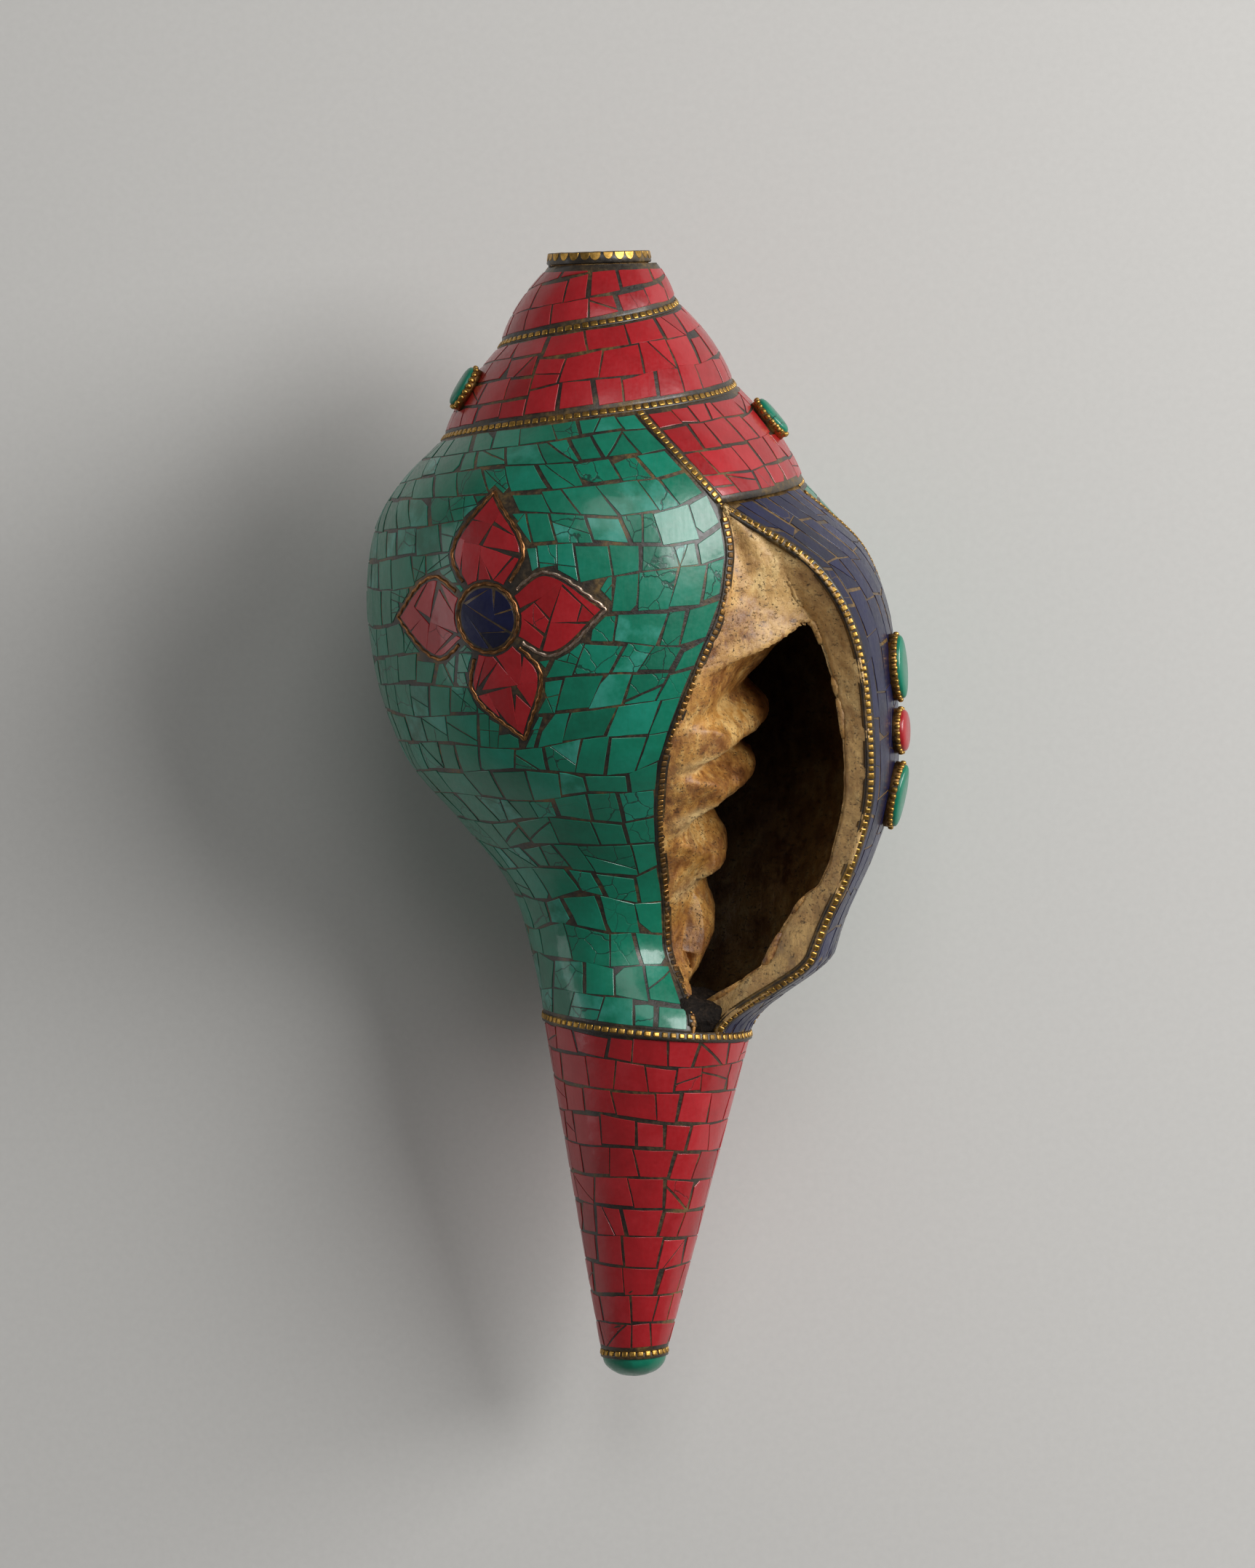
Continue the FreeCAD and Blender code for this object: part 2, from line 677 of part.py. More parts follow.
visible = min(c for c in range(CORNER) if suture_drop(column_angle(c + COLUMNS)) > 0) - 1
coral_strip = field("coral_spire", upper_cells(visible, CORNER, spire_key))
below_rim = slab(size("rim_height") + size("pitch_joint"), size("shell_length"))
coral_below = combined("Common", "coral_below_rim", [coral_strip, feature("below_rim", below_rim)])
piece(coral_below, "coral_spire_mosaic")
back_column = COLUMNS - LAPIS_COLUMNS
piece(field("lapis_lip", body_cells(back_column, COLUMNS)), "lapis_lip_mosaic")
piece(field("coral_canal", canal_cells()), "coral_canal_mosaic")

# The inlaid flower, drawn flat and laid on the skin
boss_radius = size("flower_boss")


def inlay(across, along, depth):
    """Point of the skin at a place measured from the flower's middle, to the right and up."""
    reach = whorl_radius(size("flower_angle"), size("flower_drop"))
    angle = size("flower_angle") - math.degrees(across / reach)
    return skin(whorl_radius, angle, size("flower_drop") - along, depth)


def turned(point, degrees):
    a = math.radians(degrees)
    return (
        point[0] * math.sin(a) + point[1] * math.cos(a),
        point[0] * math.cos(a) - point[1] * math.sin(a),
    )


def petal_line(grown):
    """A petal's outline from one foot over its point to the other, grown by a distance."""
    half = [(u * size("petal_reach"), v * size("petal_width")) for u, v in PETAL_SHARES]
    line = half + [(size("petal_reach"), 0.0)] + [(u, -v) for u, v in half[::-1]]
    out = []
    for n, point in enumerate(line):
        a, b = line[max(n - 1, 0)], line[min(n + 1, len(line) - 1)]
        run = math.hypot(b[0] - a[0], b[1] - a[1])
        push = grown * (POINT_PUSH_SHARE if n == len(half) else 1)
        out.append((point[0] - (b[1] - a[1]) / run * push, point[1] + (b[0] - a[0]) / run * push))
    return out


def arc_points(radius, start, stop, count):
    angles = [math.radians(mix(start, stop, n / (count - 1))) for n in range(count)]
    return [(radius * math.cos(a), radius * math.sin(a)) for a in angles]


def inlaid(outline, depth_out, depth_in):
    """A slip of stone with this flat outline, let into the skin; domed on a ring of midpoints."""
    count = len(outline)
    hub = (sum(p[0] for p in outline) / count, sum(p[1] for p in outline) / count)
    middle = [(mix(hub[0], p[0], 0.5), mix(hub[1], p[1], 0.5)) for p in outline]
    faces = []
    for depth, way in ((depth_out, 1), (depth_in, -1)):
        rim = [inlay(*p, depth) for p in outline]
        inside = [inlay(*p, depth) for p in middle]
        centre = inlay(*hub, depth)
        for n in range(count):
            faces.append([rim[n - 1], rim[n], inside[n], inside[n - 1]][::way])
            faces.append([inside[n - 1], inside[n], centre][::way])
    top = [inlay(*p, depth_out) for p in outline]
    base = [inlay(*p, depth_in) for p in outline]
    for n in range(count):
        faces.append([top[n], top[n - 1], base[n - 1], base[n]])
    return solid_of(faces)


def inlaid_wire(line, closed):
    tops = [inlay(*p, -size("wire_proud")) for p in line]
    bases = [inlay(*p, size("mosaic_thickness")) for p in line]
    return ribbon(tops, bases, size("inlay_wire"), closed)


def circle(radius):
    return arc_points(radius, 0, 360, FLOWER_SIDES + 1)[:-1]


joint = size("inlay_wire") / 2 + size("pitch_joint")
petals, petal_wires, rooms = [], [], []
for turn in PETAL_TURNS:
    line = petal_line(0.0)
    chip = petal_line(-joint)
    chip_angle = math.degrees(math.atan2(chip[0][1], chip[0][0]))
    seat = arc_points(boss_radius + joint, -chip_angle, chip_angle, SEAT_POINTS)
    room = petal_line(joint) + [(0.0, 0.0)]
    petals.append(inlaid([turned(p, turn) for p in chip + seat], 0.0, size("mosaic_thickness")))
    petal_wires.append(inlaid_wire([turned(p, turn) for p in line], False))
    rooms.append(inlaid([turned(p, turn) for p in room], -2 * joint, bed + joint))
boss_room = inlaid(circle(boss_radius + joint), -2 * joint, bed + joint)
piece(feature("petals", Part.makeCompound(petals)), "flower_petal_stones")
piece(feature("petal_wires", Part.makeCompound(petal_wires)), "flower_petal_wires")
boss_stone = inlaid(circle(boss_radius - joint), 0.0, size("mosaic_thickness"))
piece(feature("boss_stone", boss_stone), "flower_centre_stone")
piece(feature("boss_wire", inlaid_wire(circle(boss_radius), True)), "flower_centre_wire")

turquoise = field("turquoise_body", body_cells(0, back_column))
room_features = [feature("room", shape) for shape in rooms + [boss_room]]
flower_room = combined("MultiFuse", "flower_room", room_features)
piece(combined("Cut", "turquoise_round_flower", [turquoise, flower_room]), "turquoise_body_mosaic")

# Beaded wires between the fields
rim_clear = size("rim_height") + wire_margin
start = min(c for c in range(CORNER) if suture_drop(column_angle(c)) > rim_clear)
suture_keys = [upper_key(column, 0) for column in range(start, CORNER)]
suture_keys += [body_key(0, column) for column in range(back_column + 1)]
half = size("wire_width") / 2
gap = size("bedding_gap")
crossing = size("wire_width") + gap
edge_keys = [body_key(row, 0) for row in range(SPIRE_ROWS, BODY_ROWS + 1)]
back_keys = [body_key(row, back_column) for row in range(BODY_ROWS + 1)]
collar_keys = [canal_key(0, column) for column in range(CANAL_COLUMNS)]
WIRES = (
    ("spire_suture_wire", suture_keys, False, 0.0, (0.0, 0.0)),
    ("lip_edge_wire", lip_keys, False, half, (crossing, 2 * crossing)),
    ("columella_edge_wire", edge_keys, False, 0.0, (2 * crossing, crossing)),
    ("lapis_back_wire", back_keys, False, 0.0, (crossing, crossing)),
    ("canal_collar_wire", collar_keys, True, 0.0, (0.0, 0.0)),
)
for label, keys, closed, shift, trim in WIRES:
    piece(feature(label + "_strip", wire_along(keys, closed, shift, trim)), label)


def turned_ring(label, corners):
    """A ring turned about the shell's axis from a section of (radius, height) pairs."""
    body = doc.addObject("PartDesign::Body", label + "_body")
    section = body.newObject("Sketcher::SketchObject", label + "_section")
    upright = next(plane for plane in body.Origin.OriginFeatures if plane.Role == "XZ_Plane")
    section.AttachmentSupport = (upright, [""])
    section.MapMode = "FlatFace"
    points = [Vector(*corner, 0) for corner in corners]
    for n in range(len(points)):
        section.addGeometry(Part.LineSegment(points[n - 1], points[n]), False)
    ring = body.newObject("PartDesign::Revolution", label + "_turned")
    ring.Profile = section
    ring.ReferenceAxis = (section, ["V_Axis"])
    ring.Angle = 360
    body.Tip = ring
    piece(body, label)


rim_in, rim_out, rim_foot = size("neck_radius") + gap, size("rim_radius"), -size("rim_height")
turned_ring(
    "mouth_rim_wire", ((rim_in, rim_foot), (rim_out, rim_foot), (rim_out, 0), (rim_in, 0))
)
ring_in, ring_out = size("tip_radius") - bed + gap, size("tip_radius") + size("wire_proud")
ring_high, ring_low = half - tip_drop(), -half - tip_drop()
turned_ring(
    "tip_collar_wire",
    ((ring_in, ring_low), (ring_out, ring_low), (ring_out, ring_high), (ring_in, ring_high)),
)

# Cap on the canal tip: a shank inside its wire, then a rounded end
cap_seat = tip_drop() + gap
cap_shoulder = tip_drop() + wire_margin
cap_height = size("shell_length") - cap_shoulder
cap_levels = [(size("spigot_radius"), cap_seat), (size("spigot_radius"), cap_shoulder)]
for n in range(CAP_RINGS):
    a = math.radians(90 * n / CAP_RINGS)
    cap_levels.append((size("cap_radius") * math.cos(a), cap_shoulder + cap_height * math.sin(a)))
cap_rings = [
    [placed(360 * n / CAP_SIDES, radius, drop) for n in range(CAP_SIDES)]
    for radius, drop in cap_levels
]
cap_rings.append([Vector(0, 0, -size("shell_length"))] * CAP_SIDES)
piece(feature("tip_cap", tube_of(cap_rings)), "turquoise_tip_cap")


def seat_frame(angle, drop, radius_of):
    """Middle of an ornament on the skin, with its outward, sideways and upward directions."""
    middle = skin(radius_of, angle, drop, 0.0)
    out = (middle - skin(radius_of, angle, drop, size("mosaic_thickness"))).normalize()
    side = Vector(0, 0, 1).cross(out).normalize()
    return middle, out, side, out.cross(side)


def oval(length, width):
    pairs = circle_shares(ORNAMENT_SIDES)
    return [(x * width / 2, y * length / 2) for x, y in pairs]


def leaf(length, width):
    pairs = circle_shares(ORNAMENT_SIDES)
    return [(x * abs(x) ** 0.35 * width / 2, y * length / 2) for x, y in pairs]


def circle_shares(count):
    angles = [math.tau * n / count for n in range(count)]
    return [(math.sin(a), math.cos(a)) for a in angles]


def raised(frame, outline, shrink, levels):
    """Rings of an ornament: the outline drawn in by shrink and set at each height."""
    middle, out, side, up = frame
    rings = []
    for inset, height in levels:
        across = 1 - (inset + shrink) / max(x for x, y in outline)
        along = 1 - (inset + shrink) / max(y for x, y in outline)
        ring = [middle + side * (x * across) + up * (y * along) for x, y in outline]
        rings.append([point + out * height for point in ring])
    return rings


def ornament(label, frame, outline):
    """A stone in a beaded bezel, standing on the mosaic."""
    tall, wall_width = size("bezel_height"), size("bezel_wall")
    outside = raised(frame, outline, 0.0, ((0, 0.0), (0, tall)))
    inside = raised(frame, outline, wall_width, ((0, 0.0), (0, tall)))
    rings = [outside[0], outside[1], inside[1], inside[0], outside[0]]
    faces = []
    for here, there in zip(rings, rings[1:]):
        for k in range(len(here)):
            faces.append([here[k - 1], here[k], there[k], there[k - 1]])
    piece(feature(label + "_ring", solid_of(faces)), label + "_bezel")
    crown_height = tall + size("stone_crown")
    levels = ((gap, 0.0), (gap, tall), (gap + wall_width, crown_height))
    stone = tube_of(raised(frame, outline, wall_width, levels))
    piece(feature(label + "_dome", stone), label + "_stone")


cabochon = oval(size("cabochon_length"), size("cabochon_width"))
left_seat = seat_frame(LEFT_CABOCHON_ANGLE, size("cabochon_drop"), spire_radius)
right_seat = seat_frame(RIGHT_CABOCHON_ANGLE, size("right_cabochon_drop"), upper_radius)
ornament("left_cabochon", left_seat, cabochon)
ornament("right_cabochon", right_seat, cabochon)
stride = (size("oval_length") + size("leaf_length")) / 2 + size("ornament_gap")
leaf_outline = leaf(size("leaf_length"), size("leaf_width"))
oval_outline = oval(size("oval_length"), size("leaf_width"))
FLANK = (("upper_leaf", -stride, leaf_outline), ("flank_oval", 0.0, oval_outline),
         ("lower_leaf", stride, leaf_outline))
for label, away, outline in FLANK:
    ornament(label, seat_frame(FLANK_ANGLE, size("flank_drop") + away, whorl_radius), outline)

doc.recompute()

# Every piece is laid on its back, and the whole is centred on the ground
lay = Rotation(Vector(1, 0, 0), -90)
lay = Rotation(Vector(0, 1, 0), size("rest_roll")).multiply(lay)
lay = Rotation(Vector(1, 0, 0), size("rest_pitch")).multiply(lay)
laid = Part.makeCompound([thing.Shape for thing in pieces])
laid.Placement = Placement(Vector(), lay)
box = laid.optimalBoundingBox()
centre = Vector((box.XMin + box.XMax) / 2, (box.YMin + box.YMax) / 2, box.ZMin)
for thing in pieces:
    thing.Placement = Placement(-centre, lay)

for thing in doc.Objects:
    if "Invalid" in thing.State or "Error" in thing.State:
        raise RuntimeError(f"{thing.Name} is {thing.State}")
for thing in pieces:
    if thing.Shape.isNull() or not thing.Shape.isValid():
        raise RuntimeError(f"{thing.Label} has no sound shape")

os.makedirs("parts", exist_ok=True)
for thing in pieces:
    thing.Shape.exportStep(f"parts/{thing.Label}.step")
    print(thing.Label, len(thing.Shape.Solids), round(thing.Shape.Volume, 1))
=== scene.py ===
"""Conch trumpet: a chank shell in stone mosaic and beaded brass wire, dressed over its CAD frame.

The sums are in millimetres and degrees. A place on the skin is an angle, unwound along the spiral,
and a drop, measured down from the blow hole's rim. A point of a flat map is a complex number.
"""
import cmath
import json
import math
import random

import bpy
from mathutils import Matrix, Vector, noise


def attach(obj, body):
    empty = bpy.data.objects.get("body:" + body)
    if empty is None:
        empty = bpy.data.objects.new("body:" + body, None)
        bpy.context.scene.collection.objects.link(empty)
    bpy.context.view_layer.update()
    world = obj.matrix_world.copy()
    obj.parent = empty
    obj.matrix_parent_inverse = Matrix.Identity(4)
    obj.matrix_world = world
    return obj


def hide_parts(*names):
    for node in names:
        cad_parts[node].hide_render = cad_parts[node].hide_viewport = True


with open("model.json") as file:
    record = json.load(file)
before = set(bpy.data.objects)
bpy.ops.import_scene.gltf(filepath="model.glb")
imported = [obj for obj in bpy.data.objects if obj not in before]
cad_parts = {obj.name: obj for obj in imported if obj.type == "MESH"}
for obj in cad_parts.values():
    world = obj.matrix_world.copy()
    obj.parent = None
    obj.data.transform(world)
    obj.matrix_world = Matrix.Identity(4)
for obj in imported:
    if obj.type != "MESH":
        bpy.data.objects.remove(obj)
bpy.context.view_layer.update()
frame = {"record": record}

bl_info = {
    "name": "Conch Trumpet",
    "version": (1, 0, 0),
    "blender": (4, 5, 0),
    "location": "View3D > Sidebar > Conch",
    "description": "Dresses the packed model of a conch trumpet in mosaic, wire and bare shell",
    "category": "Object",
}

# The shell's own measures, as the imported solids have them
MM = 0.001
GROWTH, BELLY = 1.36, 47.9
SUTURE, PITCH, SPREAD = 38.85, 17.66, 1.218
CORE, SLOPE, BULGE = 7.3, 0.66, 1.3
COLLAR, COLLAR_SLOPE = 129.5, 0.12
CANAL, OFFSET, TIP_DROP, TIP_RADIUS = 17.7, 3.9, 185.4, 5.9
LENGTH, CAP_RADIUS = 190.0, 5.4
CORNER_ANGLE, LAPIS_ANGLE, SHEAR = 58.0, 40.0, 19.0
WIRE, MARGIN = 1.1, 0.8
LEFT_RISE = (
    (0, 0), (0.07, 0.52), (0.145, 0.853), (0.267, 1), (0.4, 0.922), (0.49, 0.75),
    (0.565, 0.512), (0.667, -0.08), (0.768, -0.6), (0.868, -0.83), (1, -0.82),
)
RIGHT_RISE = (
    (0, 0), (0.047, 0.25), (0.131, 0.684), (0.24, 0.929), (0.395, 1), (0.55, 0.954),
    (0.673, 0.7), (0.8, 0.33), (0.912, 0.13), (1, 0.1),
)
CANAL_BLEND, OPENING = 0.85, -420.0
LIP_TURN = (
    (0, 1), (0.11, 0.73), (0.29, 0.58), (0.5, 0.535), (0.71, 0.51), (0.86, 0.57), (1, 0.71),
)
INNER_SPAN = 44.0
INNER_LIP = (
    (0, 0), (0.11, 0.34), (0.22, 0.57), (0.29, 0.73), (0.4, 0.91), (0.5, 1), (0.64, 0.91),
    (0.78, 0.55), (0.89, 0.34), (1, 0.3),
)
FLOWER_ANGLE, FLOWER_DROP = -238.5, 59.3
BOSS, PETAL_REACH, PETAL_WIDTH, INLAY_WIRE = 5.7, 20.8, 7.1, 0.9
PETAL = ((0.28, 0.61), (0.375, 0.82), (0.49, 1), (0.625, 0.9), (0.75, 0.65), (0.865, 0.34))
PETAL_TURNS = (0.0, 87.0, 168.0, 270.0)
FLANK_ANGLE, FLANK_DROP = 14.0, 81.2
# Columella in the aperture, by share of the way from the corner to the collar: its radius with
# the three folds, and without them
PILLAR = (
    (0, 34), (0.15, 33), (0.228, 31.5), (0.26, 29), (0.3, 25.8), (0.342, 22.6), (0.365, 24.2),
    (0.392, 26.2), (0.42, 25.6), (0.442, 20.2), (0.462, 20.9), (0.49, 23.4), (0.525, 22.9),
    (0.55, 18), (0.572, 15.4), (0.61, 16.9), (0.65, 18.4), (0.685, 17.9), (0.706, 14.4),
    (0.74, 15.3), (0.8, 16.2), (0.87, 14), (0.951, 9), (1, 7.5),
)
PILLAR_PLAIN = (
    (0, 34), (0.228, 31.4), (0.26, 28.8), (0.3, 25.4), (0.342, 22.2), (0.442, 19.6),
    (0.572, 15.2), (0.706, 14.1), (0.8, 14.6), (0.951, 9), (1, 7.5),
)
# Breadth of the outer lip's ground rim by the same share, and where the opening begins
RIM = (
    (0, 5), (0.2, 7.6), (0.3, 6.6), (0.42, 5.2), (0.6, 4.7), (0.715, 4.6), (0.735, 6.4),
    (0.85, 8.6), (1, 9.4),
)
OPENING_TOP = 0.228
# Points of a row of the aperture: inner lip, columella, back, outer wall, rim
FACE, POST, BACK, WALL, EDGE = 34, 64, 6, 60, 16
BARE_DEPTH, LIP_WALL = 0.12, 5.4
CAVITY_TURN, CAVITY_FALL = 150.0, 0.049
# Joint at each edge of a chip, in shares of the usual one
JOINTS = (0.3, 0.4, 0.55, 0.8, 1.6)
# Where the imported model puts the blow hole, and the way that it faces
MOUTH_MOUNT = next(m for m in frame["record"]["mounts"] if m["name"] == "mouth_bore")
SEAT, FACING = Vector(MOUTH_MOUNT["pos_m"]), Vector(MOUTH_MOUNT["axis"])
KEPT = {}


def mix(a, b, share):
    return a + (b - a) * share


def clamp(x):
    return min(max(x, 0.0), 1.0)


def smooth(x):
    x = clamp(x)
    return x * x * (3 - 2 * x)


def evenly(low, high, count):
    return [mix(low, high, n / count) for n in range(count + 1)]


def through(table, x):
    """Smooth curve through a table's points, level past its ends."""
    if x <= table[0][0]:
        return table[0][1]
    if x >= table[-1][0]:
        return table[-1][1]
    i = 0
    while table[i + 1][0] <= x:
        i += 1

    def slope(k):
        low, high = max(k - 1, 0), min(k + 1, len(table) - 1)
        return (table[high][1] - table[low][1]) / (table[high][0] - table[low][0])

    width = table[i + 1][0] - table[i][0]
    u = (x - table[i][0]) / width
    ends = mix(table[i][1], table[i + 1][1], u * u * (3 - 2 * u))
    return ends + width * u * (1 - u) * ((1 - u) * slope(i) - u * slope(i + 1))


def suture_drop(angle):
    turn = angle / 360
    return SUTURE + PITCH * turn + SPREAD * turn**2


def suture_radius(angle):
    return CORE + SLOPE * suture_drop(angle)


def canal_reach(angle, share=0.0):
    radius, offset = mix(CANAL, TIP_RADIUS, share), OFFSET * (1 - share)
    a = math.radians(angle)
    return offset * math.cos(a) + math.sqrt(radius**2 - (offset * math.sin(a)) ** 2)


def collar_drop(angle):
    return COLLAR + COLLAR_SLOPE * canal_reach(angle) * math.cos(math.radians(angle))


def whorl_radius(angle, drop):
    """Skin of the last whorl."""
    top = suture_drop(angle)
    share = (drop - top) / (collar_drop(angle) - top)
    lean = (1 + math.cos(math.radians(min(max(angle, -180.0), 0.0)))) / 2
    rise = mix(through(LEFT_RISE, share), through(RIGHT_RISE, share), lean)
    radius = mix(suture_radius(angle), BELLY * GROWTH ** (angle / 360), rise)
    return mix(radius, canal_reach(angle), smooth((share - CANAL_BLEND) / (1 - CANAL_BLEND)))


def spire_radius(angle, drop):
    top, foot = suture_drop(angle), suture_drop(angle + 360)
    share = (drop - top) / (foot - top)
    chord = mix(suture_radius(angle), suture_radius(angle + 360), share)
    return chord + BULGE * 4 * share * (1 - share)


def upper_radius(angle, drop):
    """Skin above the aperture's corner, where the spire turns into the last whorl."""
    opened = smooth((angle - OPENING) / (CORNER_ANGLE - 360 - OPENING))
    return mix(spire_radius(angle, drop), whorl_radius(angle, drop), opened)


def canal_radius(angle, drop):
    top = collar_drop(angle)
    return canal_reach(angle, clamp((drop - top) / (TIP_DROP - top)))


def laid(x, y, z):
    """A point of the shell's own axes, as the trumpet lies, in metres."""
    return SEAT + Vector((x, z * FACING.y + y * FACING.z, z * FACING.z - y * FACING.y)) * MM


def placed(angle, radius, drop):
    a = math.radians(angle)
    return laid(radius * math.cos(a), -radius * math.sin(a), -drop)


def skin(radius_of, angle, drop, depth):
    """Point of a skin, let in by a depth square to the surface."""
    slope = (radius_of(angle, drop + WIRE) - radius_of(angle, drop - WIRE)) / (2 * WIRE)
    steep = math.hypot(1, slope)
    return placed(angle, radius_of(angle, drop) - depth / steep, drop + depth * slope / steep)


def corner_drop():
    return suture_drop(CORNER_ANGLE)


def lip_angle(share):
    return CORNER_ANGLE * through(LIP_TURN, share)


def inner_angle(share, across):
    return lip_angle(share) - 360 + INNER_SPAN * through(INNER_LIP, share) * across


# Each field of mosaic is a plane of (u, v), placed on the shell
def spire_place(u, v):
    """u: columns of ten degrees, up to 98 at the aperture's corner. v: suture to suture."""
    near = max(0.0, 1 - abs(u - 98) / 5)
    angle = CORNER_ANGLE - 10 * (134 - u) + SHEAR * (1 - v) * near
    return angle, mix(suture_drop(angle), suture_drop(angle + 360), v)


def body_column(column, v):
    lip = lip_angle(v)
    if column == 36:
        return lip, mix(corner_drop(), collar_drop(lip), v)
    row = v * 17
    below = max(row - 3, 0) / 14
    start = inner_angle(below, 1.0) + SHEAR * max(0, 1 - row / 3)
    if column == 0 and row < 3:
        return start, mix(suture_drop(start), suture_drop(start + 360), row / 3)
    if column == 0:
        return start, mix(corner_drop(), collar_drop(start), below)
    angle = mix(start, lip - LAPIS_ANGLE, column / 32) if column <= 32 else lip - 10 * (36 - column)
    return angle, mix(suture_drop(angle), collar_drop(angle), v)


def body_place(u, v):
    """u: 0 at the inner lip, 32 at the lapis, 36 at the outer lip. v: suture to collar."""
    v = clamp(v)
    if 1 <= u <= 35:
        return body_column(u, v)
    low = 0 if u < 1 else 35
    a, b = body_column(low, v), body_column(low + 1, v)
    return mix(a[0], b[0], u - low), mix(a[1], b[1], u - low)


def lapis_place(u, v):
    """The lapis field turned on its side, so that its courses follow the lip."""
    return body_place(36 - 4 * v, u)


def canal_place(u, v):
    return u, mix(collar_drop(u), TIP_DROP, v)


class Chart:
    """A flat map of the skin round one place: right and up."""

    def __init__(self, radius_of, angle, drop, steep=None):
        self.radius_of, self.angle, self.drop = radius_of, angle, drop
        self.reach = radius_of(angle, drop)
        slope = (radius_of(angle, drop + 1) - radius_of(angle, drop - 1)) / 2
        self.steep = steep or math.hypot(1, slope)

    def flat(self, angle, drop):
        across = -math.radians(angle - self.angle) * self.reach
        return complex(across, -(drop - self.drop) * self.steep)

    def place(self, p):
        return self.angle - math.degrees(p.real / self.reach), self.drop - p.imag / self.steep

    def point(self, p, depth):
        return skin(self.radius_of, *self.place(p), depth)


FLOWER = Chart(whorl_radius, FLOWER_ANGLE, FLOWER_DROP, 1.0)


def dot(a, b):
    return (a * b.conjugate()).real


def area_of(outline):
    return sum((outline[n - 1].conjugate() * p).imag for n, p in enumerate(outline)) / 2


def outlined(outline):
    """The same outline, run anticlockwise."""
    return outline if area_of(outline) > 0 else outline[::-1]


def centre_of(outline):
    return sum(outline) / len(outline)


def cut(outline, foot, normal):
    """The part of an outline on the side of a line that its normal points to."""
    kept = []
    for n, b in enumerate(outline):
        a = outline[n - 1]
        da, db = dot(a - foot, normal), dot(b - foot, normal)
        if (da < 0) != (db < 0):
            kept.append(mix(a, b, da / (da - db)))
        if db >= 0:
            kept.append(b)
    return kept


def drawn_in(outline, insets):
    """An outline with each edge moved in by its own distance."""
    kept = outline
    for n, b in enumerate(outline):
        a = outline[n - 1]
        if abs(b - a) > 1e-6 and len(kept) > 2:
            normal = 1j * (b - a) / abs(b - a)
            kept = cut(kept, a + normal * insets[n], normal)
    return kept


def inside(outline, p):
    hit = False
    for n, b in enumerate(outline):
        a = outline[n - 1]
        if (a.imag > p.imag) != (b.imag > p.imag):
            across = (b.real - a.real) * (p.imag - a.imag) / (b.imag - a.imag) + a.real
            hit ^= p.real < across
    return hit


def nearest_edge(outline, p):
    """The distance to an outline, and the foot and outward normal of its nearest edge."""
    best = (1e9, None, None)
    for n, b in enumerate(outline):
        a, edge = outline[n - 1], b - outline[n - 1]
        if abs(edge) > 1e-6:
            foot = a + edge * clamp(dot(p - a, edge) / abs(edge) ** 2)
            best = min(best, (abs(p - foot), foot, -1j * edge / abs(edge)), key=lambda e: e[0])
    return best


class Stuff:
    """Points, faces and a colour for each point, gathered for one piece."""

    def __init__(self):
        self.points, self.faces, self.tints = [], [], []

    def ring(self, points, tint=(0, 0, 0)):
        start = len(self.points)
        self.points.extend(points)
        self.tints.extend([tint] * len(points))
        return list(range(start, len(self.points)))

    def band(self, low, high, closed=True):
        """Faces between two rings, outward when the second lies inside or above the first."""
        for k in range(0 if closed else 1, len(low)):
            self.faces.append((low[k - 1], low[k], high[k], high[k - 1]))

    def bands(self, rings, closed=True):
        for a, b in zip(rings, rings[1:]):
            self.band(b, a, closed)

    def fan(self, ring, point, tint=(0, 0, 0), flip=False):
        hub = self.ring([point], tint)[0]
        for k in range(len(ring)):
            face = (ring[k - 1], ring[k], hub)
            self.faces.append(face[::-1] if flip else face)

    def grid(self, top, base, closed=False):
        """A closed skin from a grid of outer points and the same grid let in."""
        rows = [self.ring(row) for row in top]
        under = [self.ring(row) for row in base]
        self.bands(rows, closed)
        for a, b in zip(under, under[1:]):
            self.band(a, b, closed)
        self.band(rows[0], under[0], closed)
        self.band(under[-1], rows[-1], closed)
        if not closed:
            for k in range(1, len(rows)):
                self.faces.append((rows[k][0], rows[k - 1][0], under[k - 1][0], under[k][0]))
                self.faces.append((rows[k - 1][-1], rows[k][-1], under[k][-1], under[k - 1][-1]))


def linked(name, mesh):
    piece = bpy.data.objects.new(name, mesh)
    bpy.context.scene.collection.objects.link(piece)
    return piece


def joined(piece, slot, *nodes):
    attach(piece, "root")
    if nodes:
        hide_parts(*nodes)
    return piece


def finished(name, stuff, material, slot, *nodes, crisp=0):
    """A piece of the object: its mesh, finish, body and the CAD nodes it stands for; slot is not
    used.
    """
    mesh = bpy.data.meshes.new(name)
    mesh.from_pydata([tuple(p) for p in stuff.points], [], stuff.faces)
    tint = mesh.attributes.new("chip", "FLOAT_COLOR", "POINT")
    tint.data.foreach_set("color", [c for t in stuff.tints for c in (*t, 1.0)])
    mesh.polygons.foreach_set("use_smooth", [True] * len(mesh.polygons))
    mesh.validate()
    mesh.update()
    if crisp:
        mesh.set_sharp_from_angle(angle=math.radians(crisp))
    mesh.materials.append(material)
    return joined(linked(name, mesh), slot, *nodes)


def plain_mesh(piece):
    """Applies a piece's modifiers."""
    held = bpy.context.evaluated_depsgraph_get()
    plain = bpy.data.meshes.new_from_object(piece.evaluated_get(held))
    if not plain.polygons:
        raise RuntimeError(f"nothing was made for {piece.name}")
    piece.modifiers.clear()
    piece.data = plain


